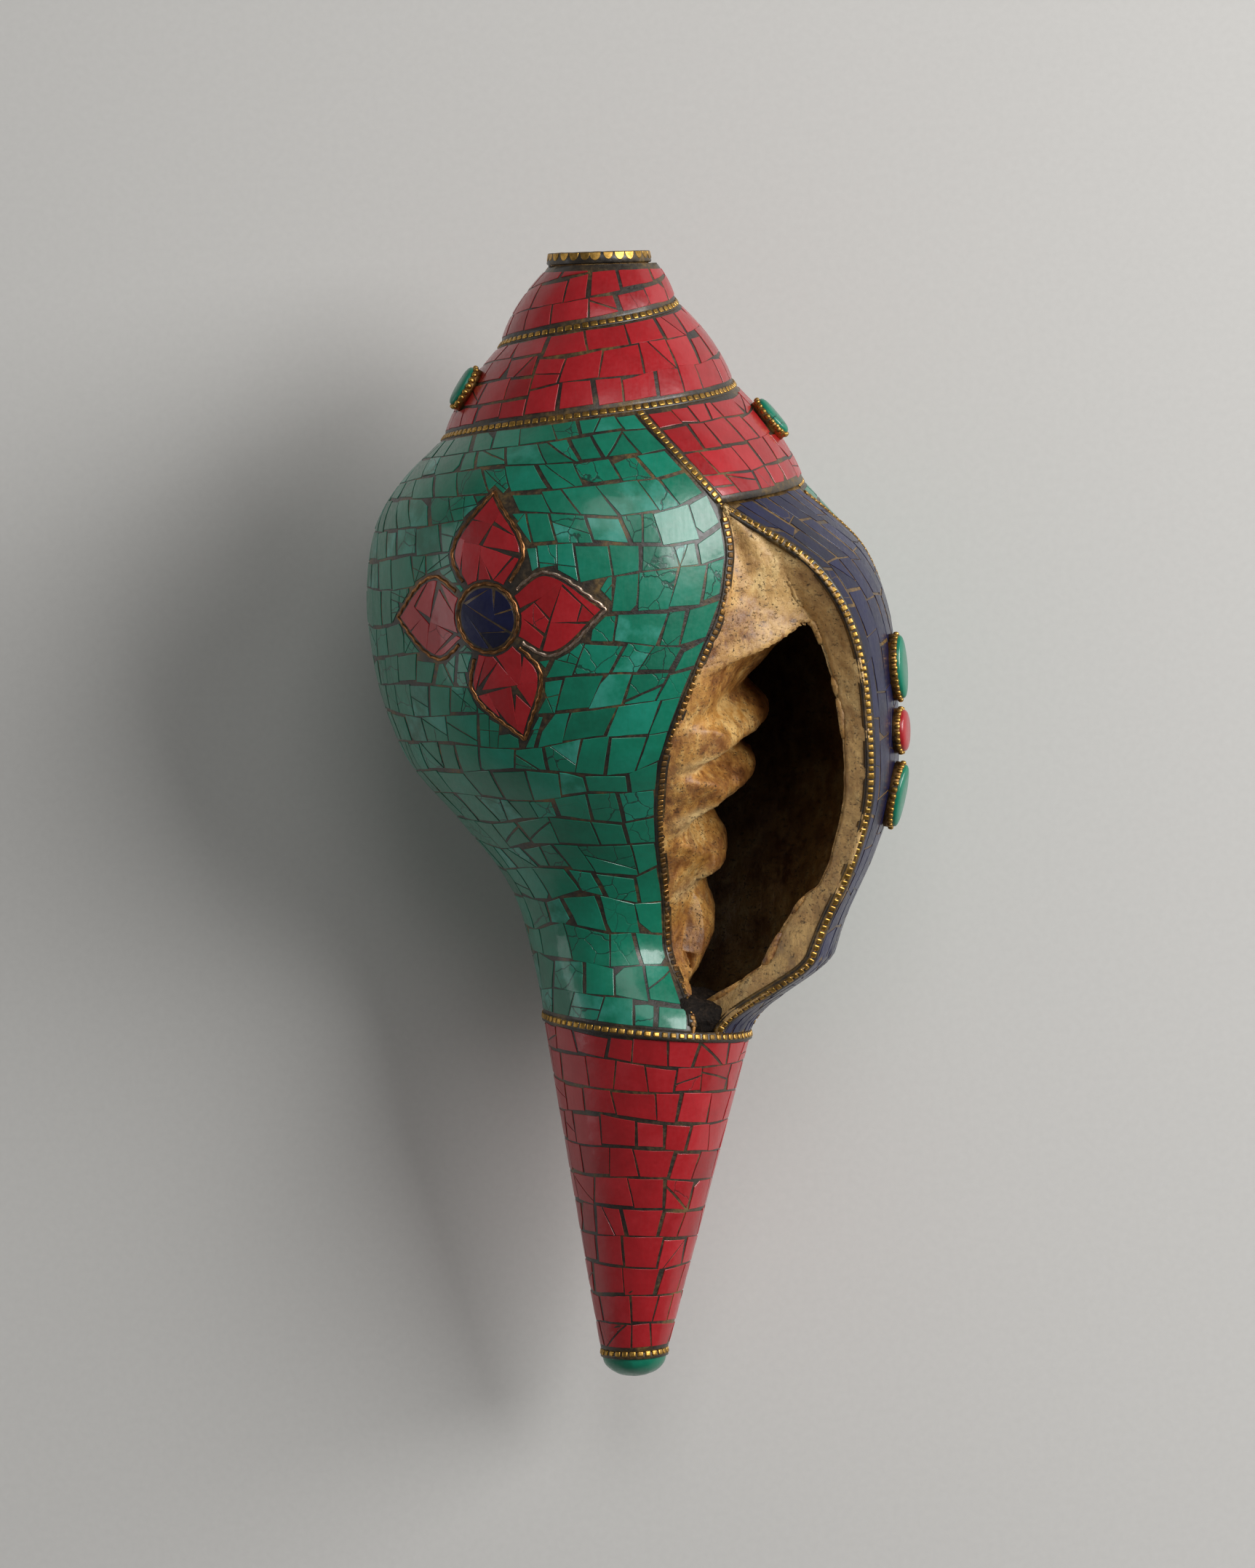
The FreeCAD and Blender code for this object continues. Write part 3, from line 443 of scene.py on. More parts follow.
def roughen(piece, *amounts):
    """Moves each point along its normal by noise: (size, height) pairs."""
    mesh = piece.data
    normals = [v.normal.copy() for v in mesh.vertices]
    for vertex, normal in zip(mesh.vertices, normals):
        place = vertex.co
        move = sum(noise.noise(place / (wide * MM)) * high * MM for wide, high in amounts)
        vertex.co = place + normal * move
    mesh.update()


# Finishes
def linear(code):
    """An sRGB hex colour as linear red, green, blue and alpha."""
    parts = [int(code[n:n + 2], 16) / 255 for n in (1, 3, 5)]
    return tuple(c / 12.92 if c <= 0.04045 else ((c + 0.055) / 1.055) ** 2.4 for c in parts) + (1,)


def add(tree, kind, inputs=None, **settings):
    """Adds a node with its settings; inputs holds values and the sockets to link."""
    made = tree.nodes.new(kind)
    for key, value in settings.items():
        setattr(made, key, value)
    for key, value in (inputs or {}).items():
        if isinstance(value, bpy.types.NodeSocket):
            tree.links.new(value, made.inputs[key])
        else:
            made.inputs[key].default_value = value
    return made


def finish_named(name):
    material = bpy.data.materials.new(name)
    material.use_nodes = True
    material.node_tree.nodes.clear()
    return material, material.node_tree


def shade(tree, **sockets):
    sockets = {key.replace("_", " "): value for key, value in sockets.items()}
    shader = add(tree, "ShaderNodeBsdfPrincipled", sockets)
    add(tree, "ShaderNodeOutputMaterial", {"Surface": shader.outputs[0]})


def chip_parts(tree):
    """The three values that each chip or row of shell carries; on the bare shell the first is
    painted shade.
    """
    own = add(tree, "ShaderNodeAttribute", attribute_name="chip").outputs["Color"]
    return add(tree, "ShaderNodeSeparateColor", {"Color": own}).outputs


def object_noise(tree, size, detail=3.0, rough=0.55, stretch=None):
    """Noise whose lumps measure about size millimetres."""
    place = add(tree, "ShaderNodeTexCoord").outputs["Object"]
    if stretch:
        place = add(tree, "ShaderNodeMapping", {"Vector": place, "Scale": stretch}).outputs[0]
    inputs = {"Vector": place, "Scale": 1 / (size * MM), "Detail": detail, "Roughness": rough}
    return add(tree, "ShaderNodeTexNoise", inputs).outputs["Fac"]


def ramp(tree, factor, *stops):
    made = add(tree, "ShaderNodeValToRGB", {"Fac": factor})
    elements = made.color_ramp.elements
    while len(elements) < len(stops):
        elements.new(0.5)
    for element, (at, colour) in zip(elements, stops):
        element.position = at
        element.color = linear(colour) if isinstance(colour, str) else colour
    return made.outputs["Color"]


def level(tree, factor, low, high, to_low=0.0, to_high=1.0):
    inputs = {"Value": factor, 1: low, 2: high, 3: to_low, 4: to_high}
    return add(tree, "ShaderNodeMapRange", inputs, clamp=True).outputs[0]


def blend(tree, factor, a, b):
    b = linear(b) if isinstance(b, str) else b
    return add(tree, "ShaderNodeMix", {0: factor, 6: a, 7: b}, data_type="RGBA").outputs[2]


def reckon(tree, way, a, b):
    return add(tree, "ShaderNodeMath", {0: a, 1: b}, operation=way).outputs[0]


def times(tree, a, b):
    return reckon(tree, "MULTIPLY", a, b)


def swayed(tree, base, factor, amount):
    """A value with the middle range of a noise added to it, up or down."""
    return reckon(tree, "ADD", base, times(tree, level(tree, factor, 0.3, 0.7, -1, 1), amount))


def bumped(tree, height, distance, strength=1.0, under=None):
    inputs = {"Height": height, "Distance": distance * MM, "Strength": strength}
    if under is not None:
        inputs["Normal"] = under
    return add(tree, "ShaderNodeBump", inputs).outputs[0]


def stone_chips(name, deep, plain, pale, crack, milk, coat=0.6, ior=1.6):
    """Sliced stone, ground flat and varnished: flat tones that change from chip to chip, under
    one glossy and slightly uneven coat. Some chips are cracked or milky."""
    material, tree = finish_named(name)
    parts = chip_parts(tree)
    cloud, fine = object_noise(tree, 4.0, 4.0), object_noise(tree, 0.7, 3.0)
    tone = swayed(tree, swayed(tree, parts[0], cloud, 0.16), fine, 0.05)
    colour = ramp(tree, tone, (0.0, deep), (0.5, plain), (1.0, pale))
    colour = blend(tree, times(tree, parts[1], level(tree, cloud, 0.4, 0.62)), colour, milk)
    # Hairline cracks about 4 mm apart, only in the chips whose third value is high
    place = add(tree, "ShaderNodeTexCoord").outputs["Object"]
    bend = {"Vector": place, "Scale": 420.0, "Detail": 3.0}
    bend = add(tree, "ShaderNodeTexNoise", bend).outputs["Color"]
    bend = add(tree, "ShaderNodeVectorMath", {0: bend, "Scale": 0.0016}, operation="SCALE")
    bent = add(tree, "ShaderNodeVectorMath", {0: place, 1: bend.outputs[0]}, operation="ADD")
    cells = {"Vector": bent.outputs[0], "Scale": 230.0}
    cells = add(tree, "ShaderNodeTexVoronoi", cells, feature="DISTANCE_TO_EDGE").outputs[0]
    line = level(tree, cells, 0.008, 0.024, 1.0, 0.0)
    line = times(tree, line, level(tree, parts[2], 0.72, 0.8))
    colour = blend(tree, times(tree, line, 0.85), colour, crack)
    # Fine slanting scratches of the grinding stone, about half a millimetre apart
    scored = object_noise(tree, 1.5, 2.0, 0.6, (5.0, 0.45, 1.0))
    colour = blend(tree, level(tree, scored, 0.56, 0.75, 0.0, 0.22), colour, deep)
    relief = bumped(tree, object_noise(tree, 2.5, 2.0), 0.09)
    relief = bumped(tree, scored, 0.006, 1.0, relief)
    shade(
        tree, Base_Color=colour, IOR=ior, Normal=bumped(tree, line, -0.05, 1.0, relief),
        Roughness=level(tree, reckon(tree, "ADD", scored, fine), 0.7, 1.3, 0.3, 0.46),
        Coat_Weight=coat, Coat_Roughness=0.13, Coat_IOR=1.5,
        Coat_Normal=bumped(tree, object_noise(tree, 3.5, 2.0), 0.07),
    )
    return material


def grouting(name, *colours):
    """Hardened pitch rubbed with brass dust: olive brown, golden where the file ran over it."""
    material, tree = finish_named(name)
    patches, fine = object_noise(tree, 7.0, 4.0), object_noise(tree, 0.8, 4.0)
    stops = zip((0.3, 0.48, 0.58, 0.72), colours)
    shade(
        tree, Base_Color=ramp(tree, swayed(tree, patches, fine, 0.1), *stops), IOR=1.55,
        Roughness=level(tree, fine, 0.3, 0.7, 0.4, 0.65), Normal=bumped(tree, fine, 0.12),
        Coat_Weight=0.35, Coat_Roughness=0.2,
    )
    return material


def raw_pitch():
    """Lump of black pitch pressed in by hand: dull and gritty, browner on its high spots."""
    material, tree = finish_named("raw pitch")
    grit = object_noise(tree, 0.9, 5.0, 0.7)
    colour = ramp(tree, grit, (0.3, "#0e0a07"), (0.52, "#1e1712"), (0.7, "#3b2f24"))
    shade(tree, Base_Color=colour, Roughness=0.7, IOR=1.3, Normal=bumped(tree, grit, 0.5))
    return material


def brass(name, bright, worn, tarnish, amount):
    """Drawn brass wire, stamped or twisted: bright on its crests, brown with tarnish elsewhere."""
    material, tree = finish_named(name)
    patches, fine = object_noise(tree, 5.0, 3.0), object_noise(tree, 0.6, 3.0)
    dirt = reckon(tree, "ADD", times(tree, patches, 0.65), times(tree, fine, 0.35))
    dirt = level(tree, dirt, 0.62 - amount, 0.78 - amount)
    shade(
        tree, Base_Color=blend(tree, dirt, ramp(tree, fine, (0.3, worn), (0.65, bright)), tarnish),
        Metallic=level(tree, dirt, 0.2, 1.0, 1.0, 0.35),
        Roughness=reckon(tree, "ADD", 0.36, times(tree, dirt, 0.3)),
        Normal=bumped(tree, fine, 0.03),
    )
    return material


def bare_shell(gold, cream, brown, dark):
    """Aragonite of an old shell, ground at the lip and never varnished: tan and cream, with brown
    stains, streaks and pits, and a soft sheen where hands have worn it."""
    material, tree = finish_named("bare shell")
    parts = chip_parts(tree)
    broad = object_noise(tree, 9.0, 4.0, 0.6)
    middle = object_noise(tree, 2.4, 5.0, 0.65, (1.6, 0.7, 1.0))
    fine = object_noise(tree, 0.5, 4.0, 0.7)
    tone = reckon(tree, "ADD", times(tree, broad, 0.5), times(tree, middle, 0.5))
    colour = ramp(tree, tone, (0.38, brown), (0.46, gold), (0.52, gold), (0.6, cream))
    warm = ramp(
        tree, tone, (0.36, "#55300f"), (0.45, "#9a5f22"), (0.53, "#c48a3c"), (0.63, "#deb269"))
    colour = blend(tree, parts[2], colour, warm)
    colour = blend(tree, times(tree, parts[1], 0.85), colour, cream)
    stain = level(tree, object_noise(tree, 5.5, 5.0, 0.7), 0.48, 0.62)
    hatch = level(tree, object_noise(tree, 1.1, 3.0, 0.7, (0.5, 2.6, 1.0)), 0.54, 0.64)
    hatch = times(tree, hatch, level(tree, parts[2], 0.0, 0.5, 0.4, 0.0))
    colour = blend(tree, hatch, colour, brown)
    stain = times(tree, stain, level(tree, parts[2], 0.0, 0.8, 0.25, 0.75))
    colour = blend(tree, stain, colour, brown)
    streak = level(tree, object_noise(tree, 1.8, 5.0, 0.75, (1.0, 2.2, 1.0)), 0.57, 0.66)
    colour = blend(tree, times(tree, streak, 0.75), colour, dark)
    pits = level(tree, fine, 0.34, 0.42, 1.0, 0.0)
    pits = times(tree, pits, level(tree, middle, 0.42, 0.6))
    colour = blend(tree, times(tree, pits, 0.8), colour, dark)
    relief = bumped(tree, fine, 0.1, 0.9, bumped(tree, middle, 0.35, 0.8))
    # The first own value blends towards the darkest colour: painted shade inside the cavity and
    # down the blow hole
    shade(
        tree, Base_Color=blend(tree, parts[0], colour, dark), IOR=1.6,
        Roughness=level(tree, middle, 0.3, 0.7, 0.38, 0.62),
        Normal=bumped(tree, pits, -0.15, 1.0, relief), Coat_Weight=0.15, Coat_Roughness=0.3,
    )
    return material


def size_property(name, description, millimetres):
    return bpy.props.FloatProperty(
        name=name, description=description, default=millimetres / 1000, unit="LENGTH")


def colour_property(name, description, code):
    return bpy.props.FloatVectorProperty(
        name=name, description=description, default=linear(code), size=4, subtype="COLOR",
        min=0, max=1)


class ConchSizes(bpy.types.PropertyGroup):
    """Sizes that a maker would change, in metres"""

    chip_length: size_property("Chip length", "Usual length of a stone chip", 5.7)
    chip_height: size_property("Course height", "Usual height of a course of chips", 5.2)
    joint: size_property("Joint", "Dark joint between two chips", 0.3)
    chip_depth: size_property("Chip depth", "Face of a chip below the solid's skin", 0.2)
    grout_depth: size_property("Pitch depth", "Face of the pitch below the solid's skin", 0.32)
    bead_pitch: size_property("Bead pitch", "From one flat bead to the next", 1.45)
    lip_bead_pitch: size_property("Lip bead pitch", "From one round bead to the next", 1.2)
    twist: size_property("Twist", "Length of one turn of the twisted wire", 2.1)


class ConchColours(bpy.types.PropertyGroup):
    """Colours that a maker would change"""

    coral: colour_property("Coral", "Middle tone of the coral chips", "#a6121b")
    turquoise: colour_property("Turquoise", "Middle tone of the turquoise chips", "#02775b")
    lapis: colour_property("Lapis", "Middle tone of the lapis chips", "#14173c")
    shell: colour_property("Shell", "Tan of the bare shell", "#d6ab6a")
    floor: colour_property("Floor", "Colour of the floor", "#d6d4d0")


class Kit:
    """The finishes, made once and shared by the pieces."""

    def __init__(self, colours):
        # Red coral: an even, warm red. Turquoise: green and clouded, with dark webs. Lapis: navy.
        self.coral = stone_chips(
            "varnished coral", "#8a0a10", tuple(colours.coral), "#b9242b", "#2a0c08", "#ad3c42",
            0.45, 1.5)
        self.turquoise = stone_chips(
            "varnished turquoise", "#006047", tuple(colours.turquoise), "#158b73", "#10352a",
            "#45a08f", 0.5, 1.45)
        self.lapis = stone_chips(
            "varnished lapis", "#0b0d24", tuple(colours.lapis), "#1e234f", "#7a6230", "#262b55",
            0.25, 1.35)
        # Pitch between the chips: dark, but with more brass dust round the lapis
        self.pitch = grouting("rubbed pitch", "#171009", "#2a1f0f", "#43331a", "#6e5424")
        self.dusted = grouting("brass dusted pitch", "#2a1d0c", "#513a17", "#6f5222", "#94712f")
        self.lump = raw_pitch()
        # Yellow brass beads, browner where hands reach less, and red brass twists, one worn bright
        self.wire = brass("beaded brass", "#cfa257", "#92702f", "#2c1f0d", 0.07)
        self.dull_wire = brass("tarnished brass", "#b98a4e", "#7c5a30", "#2c1f12", 0.16)
        self.copper = brass("twisted copper brass", "#a8754a", "#6d4a2c", "#2b1e12", 0.12)
        self.silver = brass("worn bright twist", "#cfb9a6", "#8d6f5a", "#40301f", 0.02)
        # Bare shell: its darkest colour serves the streaks and pits, and the painted shade inside
        self.shell = bare_shell(tuple(colours.shell), "#f2cf8f", "#84522a", "#170c06")


def kit():
    if "kit" not in KEPT:
        KEPT["kit"] = Kit(bpy.context.scene.conch_colours)
    return KEPT["kit"]


def sizes():
    """The user's sizes in millimetres."""
    held = bpy.context.scene.conch_sizes
    return {key: getattr(held, key) / MM for key in ConchSizes.__annotations__}


# Mosaic
def petal_line(grown):
    """A petal's outline from one foot over its point to the other, grown by a distance."""
    half = [complex(u * PETAL_REACH, v * PETAL_WIDTH) for u, v in PETAL]
    line = half + [complex(PETAL_REACH, 0)] + [p.conjugate() for p in half[::-1]]
    out = []
    for n, point in enumerate(line):
        run = line[min(n + 1, len(line) - 1)] - line[max(n - 1, 0)]
        out.append(point + 1j * run / abs(run) * grown * (1.35 if n == len(half) else 1))
    return out


def softened(line):
    """A line with its corners cut twice, but for a petal's point and the ends."""
    for _ in range(2):
        out = []
        tip, last = max(range(len(line)), key=lambda n: abs(line[n])), len(line) - 2
        for n, (a, b) in enumerate(zip(line, line[1:])):
            out.append(a if n in (0, tip) else mix(a, b, 0.25))
            if n != last and n + 1 != tip:
                out.append(mix(a, b, 0.75))
        line = out + [line[-1]]
    return line


def turned(point, degrees):
    a = math.radians(degrees)
    return point.conjugate() * complex(math.sin(a), math.cos(a))


def arc(radius, start, stop, count):
    return [cmath.rect(radius, math.radians(a)) for a in evenly(start, stop, count - 1)]


def flower_rooms(grown):
    """Outlines of the petals and the boss, each grown by a distance, in the flower's plane."""
    rooms = [arc(BOSS + grown, 0, 360, 33)[:-1]]
    for turn in PETAL_TURNS:
        petal = softened(petal_line(grown)) + [0j]
        rooms.append(outlined([turned(p, turn) for p in petal]))
    return rooms


def tests(outline, *shares):
    return [mix(outline[n - 1], p, t) for n, p in enumerate(outline) for t in shares] + [
        centre_of(outline)]


def clear_of(outline, rooms, chart):
    """An outline cut back, edge by edge, until it is outside every room of the flower."""
    for _ in range(5):
        worst = (0.05, None, None)
        for p in tests(outline, 0.0, 0.33, 0.67):
            q = FLOWER.flat(*chart.place(p))
            found = [nearest_edge(room, q) for room in rooms if inside(room, q)]
            worst = max([worst] + found, key=lambda edge: edge[0])
        if worst[1] is None:
            return outline
        here = chart.flat(*FLOWER.place(worst[1]))
        outline = cut(outline, here, chart.flat(*FLOWER.place(worst[1] + worst[2])) - here)
        if len(outline) < 3 or area_of(outline) < 0.5:
            return []
    return []


def crossed(outline, rooms, chart):
    """True if some room holds a point of the outline."""
    flat = [FLOWER.flat(*chart.place(p)) for p in tests(outline, 0.0, 0.5)]
    return any(inside(room, q) for q in flat for room in rooms)


def quartered(outline, dice):
    """A chip broken across twice, so that its parts fit more closely round a petal."""
    hub, way, parts = centre_of(outline), dice.uniform(0, math.tau), [outline]
    for angle in (way, way + math.pi / 2 + dice.uniform(-0.3, 0.3)):
        normal = cmath.rect(1, angle)
        parts = [cut(part, hub + side * 0.07 * normal, side * normal)
                 for part in parts for side in (1, -1)]
        parts = [part for part in parts if len(part) > 2]
    return parts


def set_chip(stuff, outline, point_at, depth, tint, dice, thick=0.62):
    """One chip: a flat-ground face with a worn arris, and its sides down into the pitch."""
    outline = [p for n, p in enumerate(outline) if abs(p - outline[n - 1]) > 0.06]
    if len(outline) < 3 or area_of(outline) < 0.5:
        return
    rim = []
    for n, b in enumerate(outline):
        a = outline[n - 1]
        steps = max(1, round(abs(b - a) / 1.7))
        for k in range(steps):
            wander = dice.uniform(-0.05, 0.05) if k else 0.0
            rim.append(mix(a, b, k / steps) + 1j * (b - a) / abs(b - a) * wander)
    hub = centre_of(rim)
    depth += dice.uniform(0.0, 0.03)
    lean = complex(dice.gauss(0, 0.005), dice.gauss(0, 0.005))

    def face(p, scale, extra):
        q = mix(hub, p, scale)
        return point_at(q, max(depth + extra + dot(q - hub, lean), 0.04))

    base = stuff.ring([point_at(p, thick) for p in rim], tint)
    edge = stuff.ring([face(p, 1.0, 0.05) for p in rim], tint)
    top = stuff.ring([face(p, 1 - 0.07 / max(abs(p - hub), 0.4), 0.0) for p in rim], tint)
    middle = stuff.ring([face(p, 0.52, 0.0) for p in rim], tint)
    stuff.band(base, edge)
    stuff.band(edge, top)
    stuff.band(top, middle)
    stuff.fan(middle, face(hub, 0.0, 0.0), tint)
    stuff.fan(base, point_at(hub, thick), tint, flip=True)


def broken(outline, dice):
    """A chip set a little askew, and cracked in two or short of a corner by chance."""
    spin, hub = math.radians(dice.gauss(0, 1.5)), centre_of(outline)
    outline = [hub + (p - hub) * cmath.rect(1, spin) for p in outline]
    chance = dice.random()
    if chance < 0.17:
        way = dice.uniform(0, math.tau)
        foot = hub + complex(dice.uniform(-0.7, 0.7), dice.uniform(-0.7, 0.7))
        normal = cmath.rect(1, way)
        gap = normal * dice.uniform(0.06, 0.2)
        return [cut(outline, foot + gap, normal), cut(outline, foot - gap, -normal)]
    if chance < 0.3:
        corner = dice.choice(outline)
        way = (hub - corner) / abs(hub - corner)
        way *= cmath.rect(1, math.radians(dice.uniform(-35, 35)))
        return [cut(outline, corner + way * dice.uniform(0.4, 1.1), way)]
    return [outline]


def apart(p, q, radius_of):
    """The way from one place to another on the flattened skin."""
    chart = Chart(radius_of, (p[0] + q[0]) / 2, (p[1] + q[1]) / 2)
    return chart.flat(*q) - chart.flat(*p)


def edge_shift(place, radius_of, u, v, du, dv, margin):
    """How far to move along du or dv from a field's edge to be a margin away from it."""
    step = apart(place(u, v), place(u + du, v + dv), radius_of)
    ends = ((u - abs(dv) * 2, v), (u + abs(dv) * 2, v)) if dv else (
        (u, clamp(v - 0.02)), (u, clamp(v + 0.02)))
    along = apart(place(*ends[0]), place(*ends[1]), radius_of)
    off = abs((step.conjugate() * along).imag) / max(abs(along), 1e-6)
    return margin / max(off, 1e-6) * (du or dv)


def lengths(place, radius_of, points):
    """Running length on the skin through a list of (u, v)."""
    run = [0.0]
    for a, b in zip(points, points[1:]):
        run.append(run[-1] + abs(apart(place(*a), place(*b), radius_of)))
    return run


def share_at(run, want):
    """Where a running length is reached, as a share of the way along its points."""
    n = max(i for i in range(len(run) - 1) if run[i] <= want + 1e-9)
    return (n + (want - run[n]) / max(run[n + 1] - run[n], 1e-9)) / (len(run) - 1)


def courses(stuff, place, radius_of, span, seed, look, wave, ring=False,
            edges=(1.0, 1.0, 1.0, 1.0), scale=(1.0, 1.0, 1.0), rooms=None, ceiling=None):
    """Lays a field of chips in wavy courses. edges: margin at low u, high u, low v, high v."""
    held, dice = sizes(), random.Random(seed)
    usual = ("chip_length", "chip_height", "joint")
    length, height, joint = (held[key] * share for key, share in zip(usual, scale))
    u0, u1 = span
    reach = u1 - u0
    run = lengths(place, radius_of, [((u0 + u1) / 2, n / 60) for n in range(61)])
    rows = max(2, round(run[-1] / height))
    levels = [share_at(run, run[-1] * k / rows) for k in range(rows + 1)]
    phases = [[dice.uniform(0, math.tau) for _ in range(3)] for _ in levels]

    def line(k, u):
        """v of the course line k at u."""
        v = levels[k]
        if k == 0:
            return v + edge_shift(place, radius_of, u, 0.0, 0, 0.02, edges[2])
        if k == rows:
            return v + edge_shift(place, radius_of, u, 1.0, 0, -0.02, edges[3])
        for order, phase in enumerate(phases[k], start=2):
            turns = (order if ring else order * 1.6) * (u - u0) / reach
            v += (levels[k + 1] - levels[k]) * wave * math.sin(math.tau * turns + phase) / order
        return v

    def corner(u, row):
        v = line(row, u)
        if not ring and u <= u0 + 1e-6:
            u = u0 + edge_shift(place, radius_of, u0, v, 0.2, 0, edges[0])
        elif not ring and u >= u1 - 1e-6:
            u = u1 + edge_shift(place, radius_of, u1, v, -0.2, 0, edges[1])
        return place(u, v)

    for k in range(rows):
        middle = (levels[k] + levels[k + 1]) / 2
        run = lengths(place, radius_of, [(u0 + reach * n / 48, middle) for n in range(49)])
        count = max(1, round(run[-1] / (length * dice.uniform(0.92, 1.08))))
        shift = dice.uniform(0, run[-1] / count) / run[-1] * reach if ring else 0.0
        stops = []
        for n in range(count + 1):
            wander = dice.uniform(-0.2, 0.2) if 0 < n < count else 0.0
            stops.append(u0 + reach * share_at(run, (n + wander) * run[-1] / count) + shift)
        lean = [dice.uniform(-0.09, 0.09) * reach / count for _ in stops]
        lean[-1] = lean[0]
        if not ring:
            lean[0] = lean[-1] = 0.0
        for n in range(count):
            corners = [corner(stops[m] + lean[m] * (1 if row == k else -1), row)
                       for m, row in ((n, k + 1), (n + 1, k + 1), (n + 1, k), (n, k))]
            angle, drop = (sum(c[axis] for c in corners) / 4 for axis in (0, 1))
            chart = Chart(radius_of, angle, drop)
            outline = outlined([chart.flat(*c) for c in corners])
            outline = drawn_in(outline, [joint * dice.choice(JOINTS) for _ in outline])
            if len(outline) < 3:
                continue
            shards = broken(outline, dice)
            if ceiling is not None:
                highest = complex(0, (drop - ceiling) * chart.steep)
                shards = [cut(shard, highest, -1j) for shard in shards]
            if rooms and abs(FLOWER.flat(angle, drop)) < 30:
                whole, shards = [shard for shard in shards if len(shard) > 2], []
                for shard in whole:
                    parts = quartered(shard, dice) if crossed(shard, rooms, chart) else [shard]
                    if len(parts) == 4 and dice.random() < 0.4:
                        parts = [shard]
                    shards += [clear_of(part, rooms, chart) for part in parts]
            for shard in shards:
                if len(shard) > 2:
                    set_chip(stuff, shard, chart.point, held["chip_depth"], look(dice), dice)


# A chip's own values: tone, milkiness, and a crack where the third is over 0.72
def tint_turquoise(dice):
    milky = dice.random() < 0.14
    return clamp(dice.gauss(0.46, 0.15)), dice.uniform(0.3, 0.8) if milky else 0.0, dice.random()


def tint_coral(dice):
    tone = clamp(dice.gauss(0.5, 0.17))
    return tone, 0.2 if dice.random() < 0.1 else 0.0, dice.random() * 0.78


def tint_lapis(dice):
    return clamp(dice.gauss(0.45, 0.12)), 0.0, dice.random() * 0.84


def bedding(place, radius_of, us, vs, seed, ring=False, thick=0.95, grit=0.05):
    """The skin of pitch that the chips are set in."""
    stuff, depth, top, base = Stuff(), sizes()["grout_depth"], [], []
    shift = Vector((seed, seed * 2, 0))
    for v in vs:
        places = [place(u, v) for u in us[::-1]]
        grains = [noise.noise(skin(radius_of, *at, depth) / (2.2 * MM) + shift) for at in places]
        top.append([skin(radius_of, *at, depth + grit * g) for at, g in zip(places, grains)])
        base.append([skin(radius_of, *at, depth + thick) for at in places])
    stuff.grid(top, base, ring)
    return stuff


def make_spire():
    stuff, u, number = Stuff(), 3.0, 0
    while u < 98:
        end = min(u + (9.0 if u < 40 else 6.8), 98.0)
        courses(stuff, spire_place, upper_radius, (u, end), 100 + number, tint_coral, 0.1,
                edges=(0.06, 1.0 if end >= 98 else 0.06, 1.1, 1.1), ceiling=3.0)
        u, number = end, number + 1
    finished("coral_spire_chips", stuff, kit().coral, "coral", "coral_spire_mosaic", crisp=22)

    def below_rim(u, v):
        angle, drop = spire_place(u, v)
        return angle, max(drop, 1.95)

    pitch = bedding(
        below_rim, upper_radius, evenly(0.0, 98.0, 420), evenly(0.0, 1.0, 16), 0, thick=0.9, grit=0)
    finished("coral_spire_pitch", pitch, kit().pitch, "pitch", "coral_spire_mosaic")


def make_body():
    stuff = Stuff()
    courses(stuff, body_place, whorl_radius, (0.0, 32.0), 11, tint_turquoise, 0.2,
            rooms=flower_rooms(INLAY_WIRE / 2 + 0.3))
    finished("turquoise_chips", stuff, kit().turquoise, "turquoise", "turquoise_body_mosaic",
             crisp=22)
    pitch = bedding(body_place, whorl_radius, evenly(0.0, 32.0, 192), evenly(0.0, 1.0, 100), 3)
    finished("body_pitch", pitch, kit().pitch, "pitch", "turquoise_body_mosaic")


def make_lapis():
    stuff = Stuff()
    courses(stuff, lapis_place, whorl_radius, (0.0, 1.0), 23, tint_lapis, 0.08,
            edges=(0.5, MARGIN, 1.35, MARGIN), scale=(1.5, 0.95, 0.8))
    finished("lapis_chips", stuff, kit().lapis, "lapis", "lapis_lip_mosaic", crisp=22)
    pitch = bedding(body_place, whorl_radius, evenly(32.0, 36.0, 24), evenly(0.0, 1.0, 100), 3)
    finished("lapis_pitch", pitch, kit().dusted, "pitch", "lapis_lip_mosaic")


def make_canal():
    stuff = Stuff()
    courses(stuff, canal_place, canal_radius, (0.0, 360.0), 37, tint_coral, 0.1, ring=True)
    finished("coral_canal_chips", stuff, kit().coral, "coral", "coral_canal_mosaic", crisp=22)
    us = evenly(0.0, 360.0, 120)[:-1]
    pitch = bedding(canal_place, canal_radius, us, evenly(0.0, 1.0, 60), 5, ring=True)
    finished("canal_pitch", pitch, kit().pitch, "pitch", "coral_canal_mosaic")


# Wires: a dense line is a list of points with their outward directions
def sampled(path, count, closed=False):
    return [path(n / count) for n in range(count + (0 if closed else 1))]


def spaced(line, pitch, closed):
    """Evenly spaced stations of a dense line: place, along, outward."""
    pts = line + [line[0]] if closed else line
    run = [0.0]
    for a, b in zip(pts, pts[1:]):
        run.append(run[-1] + (b[0] - a[0]).length)
    count = max(2, round(run[-1] / (pitch * MM)))
    half = 0 if closed else pitch * MM * 0.5
    out, i = [], 0
    for n in range(count if closed else count + 1):
        want = mix(half, run[-1] - half, n / count)
        while i < len(run) - 2 and run[i + 1] < want:
            i += 1
        (start, here), (end, there) = pts[i], pts[i + 1]
        share = (want - run[i]) / max(run[i + 1] - run[i], 1e-9)
        out.append((start.lerp(end, share), (end - start).normalized(),
                    here.lerp(there, share).normalized()))
    return out


def on_skin(radius_of, angle, drop):
    here = skin(radius_of, angle, drop, 0.0)
    return here, (here - skin(radius_of, angle, drop, 1.0)).normalized()


